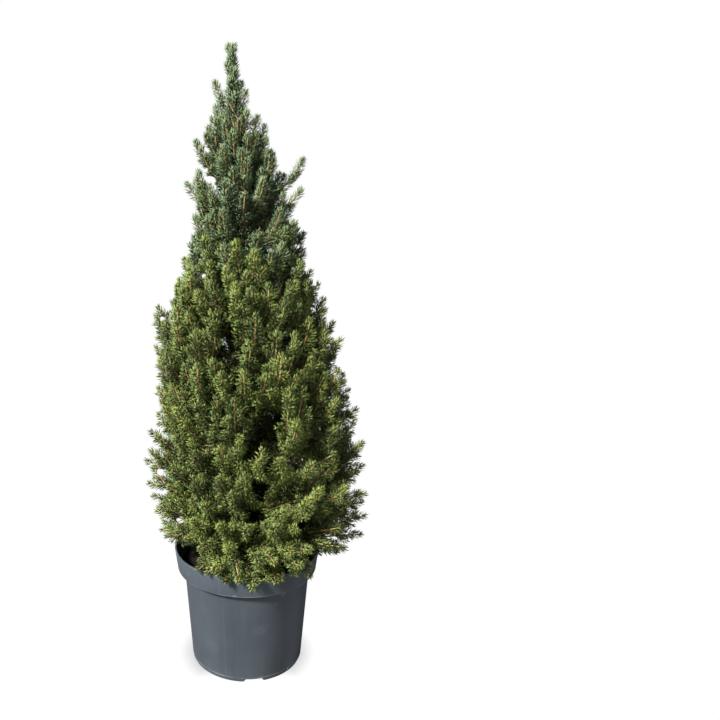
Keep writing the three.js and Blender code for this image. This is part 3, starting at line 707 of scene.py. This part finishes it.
# Turn, height and reach of the tip, climb and length of single shoots that stand out past the rest,
# close the crown's back or hang over the rim.
STRAYS = (
    (180, 1.002, 0.028, 72, 0.07), (30, 1.002, 0.014, 80, 0.06), (-8, 0.988, 0.019, 80, 0.06),
    (96, 0.984, 0.018, 80, 0.07), (176, 0.965, 0.029, 74, 0.06), (-40, 0.955, 0.026, 80, 0.06),
    (70, 0.952, 0.030, 78, 0.07), (80, 0.943, 0.034, 80, 0.07), (-6, 0.949, 0.036, 80, 0.08),
    (-132, 0.948, 0.028, 78, 0.06), (200, 0.945, 0.037, 74, 0.07), (4, 0.935, 0.047, 80, 0.08),
    (180, 0.932, 0.043, 72, 0.08), (182, 0.911, 0.064, 72, 0.08), (4, 0.893, 0.058, 78, 0.08),
    (-8, 0.882, 0.106, 66, 0.12), (0, 0.858, 0.074, 66, 0.08), (180, 0.845, 0.082, 62, 0.09),
    (38, 0.832, 0.080, 76, 0.09), (30, 0.815, 0.082, 74, 0.09), (-10, 0.836, 0.102, 58, 0.09),
    (66, 0.775, 0.086, 76, 0.10), (66, 0.750, 0.096, 74, 0.10), (112, 0.765, 0.090, 76, 0.10),
    (-4, 0.766, 0.104, 62, 0.10), (8, 0.742, 0.100, 60, 0.10), (-2, 0.733, 0.103, 62, 0.10),
    (112, 0.738, 0.096, 74, 0.10), (60, 0.722, 0.104, 74, 0.10), (172, 0.722, 0.096, 64, 0.10),
    (4, 0.702, 0.116, 60, 0.11), (64, 0.700, 0.110, 72, 0.10), (-4, 0.683, 0.126, 60, 0.11),
    (2, 0.656, 0.137, 58, 0.11), (36, 0.655, 0.128, 66, 0.11), (176, 0.640, 0.144, 58, 0.11),
    (-8, 0.640, 0.136, 58, 0.11), (42, 0.636, 0.134, 64, 0.11), (112, 0.630, 0.130, 72, 0.12),
    (184, 0.628, 0.146, 56, 0.11), (-2, 0.616, 0.151, 54, 0.12), (104, 0.600, 0.138, 70, 0.12),
    (75, 0.590, 0.146, 68, 0.12), (62, 0.578, 0.150, 66, 0.12), (101, 0.575, 0.150, 68, 0.12),
    (-6, 0.590, 0.164, 52, 0.12), (178, 0.572, 0.150, 58, 0.12), (4, 0.562, 0.157, 50, 0.12),
    (-10, 0.540, 0.158, 46, 0.12), (-20, 0.515, 0.160, 52, 0.12), (-4, 0.500, 0.176, 44, 0.12),
    (178, 0.500, 0.150, 56, 0.12), (34, 0.508, 0.168, 56, 0.12), (24, 0.500, 0.162, 56, 0.12),
    (-6, 0.468, 0.191, 42, 0.12), (-32, 0.455, 0.176, 46, 0.12), (180, 0.452, 0.151, 52, 0.12),
    (22, 0.450, 0.178, 46, 0.12), (84, 0.430, 0.168, 52, 0.12), (76, 0.400, 0.172, 48, 0.12),
    (92, 0.375, 0.174, 44, 0.12), (180, 0.421, 0.166, 50, 0.12), (-4, 0.405, 0.203, 36, 0.12),
    (188, 0.395, 0.166, 46, 0.12), (180, 0.368, 0.176, 22, 0.12), (-2, 0.361, 0.204, 28, 0.12),
    (182, 0.329, 0.172, 10, 0.12), (-8, 0.318, 0.208, 18, 0.12), (178, 0.300, 0.166, 24, 0.12),
    (4, 0.284, 0.207, 14, 0.12), (176, 0.276, 0.158, 24, 0.12), (-2, 0.268, 0.210, 10, 0.12),
    (180, 0.252, 0.148, 14, 0.12), (32, 0.262, 0.186, 12, 0.12), (8, 0.236, 0.186, 6, 0.10),
    (-6, 0.240, 0.202, 6, 0.12), (-14, 0.222, 0.176, 4, 0.10),
    *((turn, 0.217, 0.146, 6, 0.08) for turn in (-104, -95, -85, -76, -67, -56)),
    *((turn, 0.219, 0.136, -4, 0.08) for turn in (-110, -118, -126)),
    *((turn, 0.224, 0.117, 0, 0.08) for turn in (-108, -122)),
)
# Gaps as seen from the camera: how far across and how high the line of sight passes the trunk, and
# half the width. The sky or the pot's inside shows through the first, the dark middle in the rest.
EYE = np.array((0, -1.249, 0.816))
SKY_GAPS = (
    (-0.044, 0.908, 0.004), (-0.065, 0.899, 0.006), (-0.065, 0.869, 0.004),
    (-0.056, 0.853, 0.007), (0.083, 0.745, 0.005), (-0.072, 0.696, 0.005),
    (0.113, 0.683, 0.004), (-0.143, 0.624, 0.005), (0.150, 0.528, 0.004),
    (-0.121, 0.497, 0.004), (-0.154, 0.349, 0.007), (-0.145, 0.312, 0.005),
    (-0.119, 0.258, 0.008), (-0.109, 0.190, 0.014), (0.158, 0.224, 0.006),
    (0.146, 0.226, 0.005),
)
DARK_GAPS = (
    (0.020, 0.421, 0.012), (0.013, 0.400, 0.013), (0.009, 0.382, 0.010),
    (0.020, 0.318, 0.012), (0.011, 0.262, 0.009), (0.056, 0.683, 0.009),
    (-0.054, 0.645, 0.010), (0.068, 0.586, 0.009), (0.089, 0.545, 0.012),
    (-0.040, 0.556, 0.010), (-0.012, 0.781, 0.011), (0.012, 0.782, 0.011),
    (0.035, 0.776, 0.012), (0.078, 0.366, 0.009), (0.099, 0.248, 0.009),
)
SKY_GAP_END = 1
DARK_GAP_END = -0.05
GAPS = np.array([(*gap, SKY_GAP_END) for gap in SKY_GAPS] + [(*gap, DARK_GAP_END) for gap in DARK_GAPS])


def in_a_gap(points):
    """For each of some points, whether it lies in one of the gaps, along the line of sight."""
    share = EYE[1] / (EYE[1] - points[:, 1:2])
    seen = EYE + (points - EYE) * share
    near = np.hypot(seen[:, :1] - GAPS[:, 0], seen[:, 2:] - GAPS[:, 1]) < GAPS[:, 2]
    return (near & (points[:, 1:2] < GAPS[:, 3])).any(axis=1)


def climb_at(height):
    """How far over level the shoots climb at a height, in radians."""
    rise = (height - OUTLINE_HEIGHTS[0]) / CLIMB_RISE
    return math.radians(CLIMB_TIP - (CLIMB_TIP - CLIMB_LOW) * math.exp(-rise))


def heading(turn, climb):
    """The direction of a shoot that points this way and climbs this much."""
    level = math.cos(climb)
    return np.array((math.cos(turn) * level, math.sin(turn) * level, math.sin(climb)))


def by_girth(radius, sizes):
    """A size that grows with the crown's radius, from the slim spire to the full lower crown."""
    return np.interp(radius, CROWN_RADII, sizes)


def crossing(tier, turn):
    """The height at which a tier's lower side comes out through the crown's outline."""
    height = TIERS[tier].foot
    while tier_floor(tier, outline_radius(height, turn)) > height:
        height += 0.001
    return height


def drapes_over_the_rim(turn):
    """True in front, where the lowest shoots hang over the pot's rim."""
    off = math.degrees(math.atan2(math.sin(turn), math.cos(turn)))
    return DRAPE[0] < off < DRAPE[1]


def leading_tips(mass, random):
    """Where a mass's leading shoots end: rows and columns over its part of the outline."""
    low = crossing(mass.tier, mass.turn) if mass.tier else OUTLINE_HEIGHTS[0]
    high = crossing(mass.tier + 1, mass.turn)
    reach = outline_radius((low + high) / 2, mass.turn)
    spacing = by_girth(reach, TIP_SPACING)
    rows = max(1, round((high - low) / spacing / ROW_SPACING))
    for row in range(rows):
        level = low + (row + 0.5) * (high - low) / rows
        columns = max(1, round(2 * mass.half_turn * outline_radius(level, mass.turn) / spacing))
        for column in range(columns):
            share = (column + 0.25 + 0.5 * (row % 2)) / columns
            turn = mass.turn + (share * 2 - 1) * mass.half_turn
            turn += random.normal(0, TIP_SCATTER) * spacing / reach
            height = level + random.normal(0, TIP_SCATTER) * spacing
            if height > RANDOM_TIPS_TO or height < SIDE_TIPS_FROM and not drapes_over_the_rim(turn):
                continue
            height = max(height, DRAPE_FOOT)
            share = SPIRE_REACH_SHARE if mass.tier in SPIRE_TIERS else REACH_SHARE
            distance = outline_radius(height, turn) * random.uniform(*share) - NEEDLE_ROOM
            climb = climb_at(height) + math.radians(random.normal(0, AIM_SCATTER))
            swing = math.radians(random.normal(0, AIM_SCATTER))
            length = by_girth(outline_radius(height, turn), SHOOT_LENGTH)
            yield crown_point(distance, turn, height), heading(turn + swing, climb), length


def owns(mass, point):
    """True if a mass's space holds a point of the outline."""
    distance, turn = place_of(point)
    off = math.atan2(math.sin(turn - mass.turn), math.cos(turn - mass.turn))
    under_next = mass.tier == LEADER or point[2] < tier_floor(mass.tier + 1, distance)
    return abs(off) <= mass.half_turn and under_next and point[2] >= tier_floor(mass.tier, distance)


def arc(foot, bend, tip, steps):
    """A curve from a foot to a tip, drawn towards the place where it bends."""
    share = np.linspace(0, 1, steps)[:, None]
    return (1 - share) ** 2 * foot + 2 * share * (1 - share) * bend + share**2 * tip


def leading_line(mass, tip, direction, length):
    """A leading shoot's line: from the spot on the stem about its length away, curving up."""
    if mass.tier in SPIRE_TIERS:
        spots = [along_trunk(tip[2] - drop) for drop in np.linspace(length * 0.5, length, 8)]
    else:
        out = place_of(tip)[0]
        stem = mass.stem[STEM_BARE_POINTS:]
        spots = [spot for spot in stem if place_of(spot)[0] < out - LEADING_ROOM] or [stem[0]]

    def misfit(spot):
        """How far a spot is from being straight behind the tip and a length away."""
        away = tip - spot
        reach = np.linalg.norm(away)
        return abs(reach - length) + length * (1 - away @ direction / reach)

    foot = min(spots, key=misfit)
    return arc(foot, tip - direction * np.linalg.norm(tip - foot) * LEADING_BEND, tip, steps=10)


def along(line, distances):
    """Places and directions at distances back from the tip of a line."""
    steps = np.linalg.norm(np.diff(line, axis=0), axis=1)
    run = np.concatenate([[0], np.cumsum(steps)])
    spots = run[-1] - np.asarray(distances)
    places = np.stack([np.interp(spots, run, line[:, axis]) for axis in range(3)], axis=1)
    segment = np.clip(np.searchsorted(run, spots) - 1, 0, len(steps) - 1)
    return places, (np.diff(line, axis=0) / steps[:, None])[segment]


def length_of(line):
    return np.linalg.norm(np.diff(line, axis=0), axis=1).sum()


def square_to(directions):
    """Two directions square to each of some directions."""
    guide = np.where(np.abs(directions[:, 2:]) > 0.9, (1.0, 0.0, 0.0), (0.0, 0.0, 1.0))
    across = np.cross(directions, guide)
    across /= np.linalg.norm(across, axis=1)[:, None]
    return across, np.cross(directions, across)


def spoke(line, distance, turn):
    """At a distance back from a line's tip: the place, the direction, and a side by its turn."""
    places, directions = along(line, [distance])
    (across,), (up,) = square_to(directions)
    return places[0], directions[0], across * math.cos(turn) + up * math.sin(turn)


def in_the_pot(points, room):
    """Whether points are in the pot or nearer than this beside and above it."""
    beside, above = room
    low = points[..., 2] < POT_HEIGHT + above
    return low & (np.hypot(points[..., 0], points[..., 1]) < RIM_RADIUS + beside)


def outside(leading, tip):
    """True if a side shoot would end outside the crown and past the end of its leading shoot."""
    distance, turn = place_of(tip)
    past = distance - max(outline_radius(tip[2], turn), place_of(leading.line[-1])[0])
    return past > SIDE_OVERSHOOT


def shade_of(place, random):
    """The needle colour that a shoot is dealt, from the blue-green spire to the olive body."""
    level = random.choice(3, p=SHADE_SHARES)
    warmth = np.interp(place[2], SPIRE_BLUE, (1, 0)) + random.normal(0, WARMTH_SCATTER)
    if warmth < 0.5:
        return level
    bright_side = place[2] < BRIGHT_BELOW and place[0] > BRIGHT_FROM and random.random() < BRIGHT_SHARE
    return FIRST_OLIVE + level + (1 if bright_side else 0)


def side_shoot(leading, place, direction, side, size, lean, random):
    """A shoot from a place on a leading one, which leans off its direction to one side."""
    aim = direction * math.cos(lean) + side * math.sin(lean)
    tip = place + aim * size + np.array((0, 0, SIDE_LIFT * size))
    line = arc(place, place + aim * size * 0.5, tip, steps=3)
    tint = leading.tint if random.random() < SAME_TINT_SHARE else shade_of(tip, random)
    crowding = leading.crowding * by_girth(place_of(place)[0], SIDE_CROWDING)
    return Shoot(line, SIDE_GIRTH, size, crowding, leading.tier, tint)


def side_shoots(leading, girth, random):
    """The whorls of shoots round a leading one, but for those that would grow into the shade."""
    length = length_of(leading.line)
    start = random.uniform(0, math.tau)
    most = by_girth(girth, SIDE_MOST)
    for number, middle in enumerate(WHORLS):
        for part in range(WHORL_SIZE):
            distance = middle + random.normal(0, WHORL_SCATTER)
            if not WHORL_ROOM[0] < distance < length - WHORL_ROOM[1]:
                continue
            if leading.tier in SPIRE_TIERS and distance < SPIRE_WHORLS_FROM:
                continue
            turn = start + number * GOLDEN + part * math.tau / WHORL_SIZE + random.normal(0, TURN_SCATTER)
            place, direction, side = spoke(leading.line, distance, turn)
            outward = place - along_trunk(place[2])
            outward /= np.linalg.norm(outward) + 1e-9
            if number and side @ outward < SHADED_SIDE:
                continue
            size = min(SIDE_LEAST + SIDE_GROWTH * distance, most) * random.uniform(*SIDE_SIZES)
            lean = math.radians(by_girth(girth, SIDE_LEAN) + random.normal(0, SIDE_SCATTER))
            shoot = side_shoot(leading, place, direction, side, size, lean, random)
            end = shoot.line[-1]
            if not (in_the_pot(end, RIM_ROOM) or outside(leading, end) or in_a_gap(end[None])[0]):
                yield shoot


def inner_shoot(place, tip, tier):
    """An old shoot, if it ends well inside the crown and clear of the pot."""
    distance, turn = place_of(tip)
    if distance < outline_radius(tip[2], turn) * INNER_REACH and not in_the_pot(tip, RIM_ROOM):
        # Old inner shoots get the darkest needles of their colours: the darker tone of old needles, and
        # painted shade for the crown's middle.
        tint = 0 if place[2] > INNER_BLUE_FROM else FIRST_OLIVE
        line = arc(place, (place + tip) / 2, tip, steps=3)
        yield Shoot(line, SIDE_GIRTH, INNER_CLAD, INNER_CROWDING, tier, tint)


def inner_shoots(mass, random):
    """Short old shoots on the stem itself, which close the crown's dark middle."""
    for _ in range(INNER_SHOOTS):
        place = mass.stem[random.integers(STEM_BARE_POINTS + 1, len(mass.stem))]
        aim = heading(random.uniform(0, math.tau), math.radians(random.uniform(*INNER_CLIMB)))
        tip = place + aim * random.uniform(*INNER_LENGTH)
        yield from inner_shoot(place, tip, mass.tier)


def trunk_shoots(random):
    """Short old shoots all round the trunk, from its foot up into the spire."""
    for number, height in enumerate(np.linspace(*TRUNK_SHOOTS_SPAN, TRUNK_SHOOTS)):
        place = along_trunk(height)
        aim = heading(number * GOLDEN, math.radians(random.uniform(*TRUNK_SHOOT_CLIMB)))
        tier = max(tier for tier in range(LEADER) if TIERS[tier].foot <= max(height, TIERS[0].foot))
        yield from inner_shoot(place, place + aim * random.uniform(*TRUNK_SHOOT_LENGTH), tier)


leading_shoots = []
side_twigs = []
for mass in masses:
    random = np.random.default_rng(SEED + mass.tier * 101 + mass.number * 17)
    tips = [] if mass.tier == LEADER else list(leading_tips(mass, random))
    drawn = [(leading_line(mass, *tip), tip[2]) for tip in tips]
    drawn = [(line, length) for line, length in drawn if not in_a_gap(line).any()]
    for turn, height, reach, climb, length in STRAYS:
        tip = crown_point(reach, math.radians(turn), height)
        if owns(mass, tip):
            direction = heading(math.radians(turn), math.radians(climb))
            drawn.append((leading_line(mass, tip, direction, length), length))
    for line, length in drawn:
        tip = line[-1]
        girth = outline_radius(tip[2], 0)
        clad = length * by_girth(girth, CLAD_SHARE)
        crowding = by_girth(girth, CROWDING)
        shoot = Shoot(line, LEADING_GIRTH, clad, crowding, mass.tier, shade_of(tip, random))
        leading_shoots.append(shoot)
        side_twigs += side_shoots(shoot, girth, random)
    if mass.tier < LEADER:
        side_twigs += inner_shoots(mass, random)

random = np.random.default_rng(SEED)
side_twigs += trunk_shoots(random)
leader = Shoot(masses[-1].stem, LEADER_GIRTH, LEADER_CLAD, LEADER_CROWDING, LEADER, 1)
leading_shoots.append(leader)
least, most = LEADER_SIZES
straight_up = np.array((0, 0, 1.0))
for side in ((-1, 0, 0), (1, 0, 0)):
    shoot = side_shoot(leader, leader.line[-1], straight_up, np.array(side), least, PAIR_LEAN, random)
    side_twigs.append(shoot)
for distance in np.arange(*LEADER_SIDES, LEADER_SPACING):
    foot = spoke(leader.line, distance, distance / LEADER_SPACING * GOLDEN)
    size = min(least + LEADER_SIDE_GROWTH * distance, most)
    side_twigs.append(side_shoot(leader, *foot, size, LEADER_SIDE_LEAN, random))


def twig_bark(name, colour):
    """Thin young bark, paler in patches, with fine grooves along it."""
    finish, tree, shader = finish_named(name, roughness=0.6, specular=0.35)
    patches = mottled(tree, size=160, low=0.40, high=0.62)["Mask"]
    tree.links.new(mixed(tree, patches, darker(colour, 0.7), colour), shader.inputs["Base Color"])
    grooves = mottled(tree, size=900, stretch=(1, 1, 0.5))["Height"]
    embossed(tree, shader, grooves, strength=0.5, depth=0.0005)
    return finish


TWIG_TAN = (0.66, 0.43, 0.17)
TWIG_BROWN = (0.30, 0.19, 0.08)
for name, shoots, colour in (
    ("leading_twigs", leading_shoots, TWIG_TAN),
    ("side_twigs", side_twigs, TWIG_BROWN),
):
    lines = [shoot.line for shoot in shoots]
    girths = [np.linspace(*shoot.girth, len(shoot.line)) for shoot in shoots]
    mesh = mesh_of(name, rods(name, lines, girths, rounds=0))
    set_out(name, mesh, [twig_bark(name, colour)], "bark", "leader_foliage")
    smoothed(mesh, sharp_degrees=80)


# Needles. Stiff, pointed and four-sided, 12 or 13 mm long, all round each young shoot on a
# spiral and leaning forward, closing to a tuft at its tip. Each is a slim blade of four faces.
NEEDLE_LENGTH = 0.0128
NEEDLE_WIDTH = 0.0021
NEEDLE_DEPTH = 0.0007
NEEDLE_WIDEST = 0.58
NEEDLE_SIZES = (0.85, 1.1)
NEEDLE_LEAN = 56
NEEDLE_LIFT = 0.10
LEAN_SCATTER = 6
SPIRAL_SCATTER = 0.2
FOOT_OFF_MIDDLE = 0.6
NEEDLE_ROOM_AT_RIM = (0.002, 0.002)
# In the tuft at a tip needles are shorter, closer and lean less; on old wood they stand apart.
TIP_LEAN = 22
TIP_SIZE = 0.8
TUFT = 0.010
TUFT_CROWDING = 1.5
TUFT_FROM = 0.0002
OLD_FROM = 0.06
OLD_THINNING = 1.7
YOUNG_TIP = 0.013
YOUNG_SCATTER = 0.002
NEEDLE_COLOURS = (
    ("deep_blue_green", (0.048, 0.084, 0.038)),
    ("blue_green", (0.134, 0.201, 0.087)),
    ("sage_green", (0.240, 0.321, 0.144)),
    ("deep_olive", (0.052, 0.080, 0.021)),
    ("olive", (0.132, 0.184, 0.045)),
    ("moss_green", (0.217, 0.288, 0.070)),
    ("fresh_green", (0.315, 0.390, 0.090)),
)


def needles_on(shoot, random):
    """The needles of one shoot: foot, aim, width direction, length and colour of each."""
    tuft = np.arange(TUFT_FROM, TUFT, 1 / shoot.crowding / TUFT_CROWDING)
    green = np.arange(TUFT, min(shoot.clad, OLD_FROM), 1 / shoot.crowding)
    old = np.arange(OLD_FROM, shoot.clad, OLD_THINNING / shoot.crowding)
    distances = np.concatenate([tuft, green, old])
    places, directions = along(shoot.line, distances)
    across, up = square_to(directions)
    count = len(distances)
    turn = random.uniform(0, math.tau) + np.arange(count) * GOLDEN
    turn += random.normal(0, SPIRAL_SCATTER, count)
    side = across * np.cos(turn)[:, None] + up * np.sin(turn)[:, None]
    lean = np.interp(distances, (0, TUFT), (TIP_LEAN, NEEDLE_LEAN)) + random.normal(0, LEAN_SCATTER, count)
    lean = np.radians(lean)[:, None]
    aim = directions * np.cos(lean) + side * np.sin(lean) + np.array((0, 0, NEEDLE_LIFT))
    aim /= np.linalg.norm(aim, axis=1)[:, None]
    width = np.cross(aim, directions)
    width /= np.linalg.norm(width, axis=1)[:, None]
    girth = np.interp(distances, (0, shoot.clad), shoot.girth[::-1])[:, None]
    length = NEEDLE_LENGTH * np.interp(distances, (0, TUFT), (TIP_SIZE, 1))
    length = length * random.uniform(*NEEDLE_SIZES, count)
    young = distances < YOUNG_TIP + random.normal(0, YOUNG_SCATTER)
    mood = random.choice((-1, 0, 0, 1), count)
    last = len(NEEDLE_COLOURS) - 1
    span = (0, FIRST_OLIVE - 1) if shoot.tint < FIRST_OLIVE else (FIRST_OLIVE, last)
    colours = np.clip(shoot.tint + young + mood, *span)
    return places + side * girth * FOOT_OFF_MIDDLE, aim, width, length[:, None], colours


def blades(name, feet, aims, widths, lengths, width, depth, colours):
    """Many slim blades as one mesh, each with a foot, a point and two edges, and four faces."""
    count = len(feet)
    ridge = np.cross(aims, widths)
    middle = feet + aims * lengths * NEEDLE_WIDEST + ridge * depth
    corners = np.empty((count, 4, 3), np.float32)
    corners[:, 0] = feet
    corners[:, 1] = feet + aims * lengths
    corners[:, 2] = middle + widths * width / 2
    corners[:, 3] = middle - widths * width / 2
    faces = np.array(((0, 3, 2), (1, 2, 3), (0, 2, 1), (0, 1, 3)))
    index = (np.arange(count)[:, None, None] * 4 + faces).reshape(-1, 3)
    mesh = bpy.data.meshes.new(name)
    mesh.vertices.add(count * 4)
    mesh.vertices.foreach_set("co", corners.ravel())
    mesh.loops.add(index.size)
    mesh.loops.foreach_set("vertex_index", index.ravel().astype(np.int32))
    mesh.polygons.add(len(index))
    mesh.polygons.foreach_set("loop_start", np.arange(0, index.size, 3, dtype=np.int32))
    mesh.polygons.foreach_set("material_index", np.repeat(colours, 4).astype(np.int32))
    mesh.update(calc_edges=True)
    return mesh


needle_finishes = []
for name, colour in NEEDLE_COLOURS:
    finish, _, shader = finish_named(name, roughness=0.42, specular=0.45)
    shader.inputs["Base Color"].default_value = (*colour, 1)
    needle_finishes.append(finish)

for tier in range(len(TIERS)):
    random = np.random.default_rng(SEED + tier)
    shoots = [shoot for shoot in leading_shoots + side_twigs if shoot.tier == tier]
    found = [needles_on(shoot, random) for shoot in shoots]
    feet, aims, widths, lengths, colours = (np.concatenate(parts) for parts in zip(*found))
    clear = ~in_the_pot(feet + aims * lengths, NEEDLE_ROOM_AT_RIM)
    clear &= ~in_a_gap(feet + aims * lengths / 2)
    kept = [values[clear] for values in (feet, aims, widths, lengths)]
    name = f"needles_tier_{tier + 1}"
    mesh = blades(name, *kept, NEEDLE_WIDTH, NEEDLE_DEPTH, colours[clear])
    if tier == LEADER:
        nodes = ["leader_foliage"]
    else:
        nodes = [f"tier{tier + 1}_foliage_{number + 1}" for number in range(TIERS[tier].masses)]
    set_out(name, mesh, needle_finishes, "foliage", *nodes)


# Buds. One closed winter bud, small, blunt and wrapped in red-brown scales, at the end of each
# of the stronger shoots, where it shows in the middle of the tuft.
BUD_BROWN = (0.30, 0.165, 0.065)
BUD_WIDTH = 0.0026
BUD_LENGTH = 0.0034
BUD_LEAST_SHOOT = 0.026
strong = [shoot for shoot in leading_shoots + side_twigs if shoot.clad > BUD_LEAST_SHOOT]
ends = np.array([shoot.line[-2:] for shoot in strong])
aims = ends[:, 1] - ends[:, 0]
aims /= np.linalg.norm(aims, axis=1)[:, None]
across = square_to(aims)[0]
sizes = np.full((len(ends), 1), BUD_LENGTH)
mesh = blades("buds", ends[:, 1], aims, across, sizes, BUD_WIDTH, BUD_WIDTH / 2, np.zeros(len(ends)))
set_out("buds", mesh, [twig_bark("bud_scales", BUD_BROWN)], "bark", "leader_foliage")


# Studio. A plain floor that runs out of sight under a white sky. To the camera it takes no light but
# glows white, a painted light, so that it looks pale and shows no cast shadow; a painted soft shadow
# dims the glow at both sides of the pot's foot and behind it. To other rays it is a dull grey. The key
# light comes from the upper left in front, and the sky and the floor fill the shadows only a little.
FLOOR_SIZE = 60
THROWN_BACK = 0.21
PAINTED_CONTACT_SHADE = 0.42
CONTACT_REACH = 0.028
CONTACT_FRONT = (-0.085, -0.040)
SKY_LIGHT = 0.28
SKY_TINT = (0.88, 0.97, 1.10)
SUN_PLACE = (-1.5, -1.7, 2.0)
SUN_STRENGTH = 7.1
SUN_WIDTH = math.radians(9)
shape = bmesh.new()
bmesh.ops.create_grid(shape, x_segments=1, y_segments=1, size=FLOOR_SIZE)
floor = placed("floor", mesh_of("floor", shape))
pale, tree, shader = finish_named("pale_floor", roughness=0.9, specular=0.1)
seen = added(tree, "ShaderNodeLightPath").outputs["Is Camera Ray"]
tree.links.new(mixed(tree, seen, [THROWN_BACK] * 3, (0, 0, 0)), shader.inputs["Base Color"])
# The painted contact shadow: the glow dims where the pot hems in the floor, at its sides and behind, but not
# in front.
open_share = added(tree, "ShaderNodeAmbientOcclusion", {"Distance": CONTACT_REACH}).outputs["AO"]
in_front = ranged(tree, located(tree)[2], CONTACT_FRONT, (1, 0))
glow_share = reckoned(tree, "MAXIMUM", open_share, in_front)
glow = mixed(tree, glow_share, [PAINTED_CONTACT_SHADE] * 3, (1, 1, 1))
tree.links.new(mixed(tree, seen, (0, 0, 0), glow), shader.inputs["Emission Color"])
shader.inputs["Emission Strength"].default_value = 1.0
floor.data.materials.append(pale)

sky = bpy.data.worlds.new("white_sky")
sky.use_nodes = True
tree = sky.node_tree
seen = added(tree, "ShaderNodeLightPath").outputs["Is Camera Ray"]
background = tree.nodes["Background"]
tree.links.new(mixed(tree, seen, SKY_TINT, (1, 1, 1)), background.inputs["Color"])
tree.links.new(ranged(tree, seen, (0, 1), (SKY_LIGHT, 1)), background.inputs["Strength"])
bpy.context.scene.world = sky

sun = bpy.data.lights.new("key", "SUN")
sun.energy = SUN_STRENGTH
sun.angle = SUN_WIDTH
key = placed("key", sun)
key.location = SUN_PLACE
key.rotation_euler = Vector(SUN_PLACE).to_track_quat("Z", "Y").to_euler()
bpy.context.scene.view_settings.view_transform = "Standard"


# Camera. It stands 1.25 m in front of the trunk, level with the crown's upper half, and looks
# a little down. The lens is shifted so that the plant is left of the picture's centre.
CAMERA_DROP = 11.92
camera = bpy.data.cameras.new("camera")
camera.lens = 37.15
camera.sensor_width = 36
camera.shift_x = 0.157
camera.clip_end = 100
viewer = placed("camera", camera)
viewer.location = EYE
viewer.rotation_euler = (math.radians(90 - CAMERA_DROP), 0, 0)
bpy.context.scene.camera = viewer
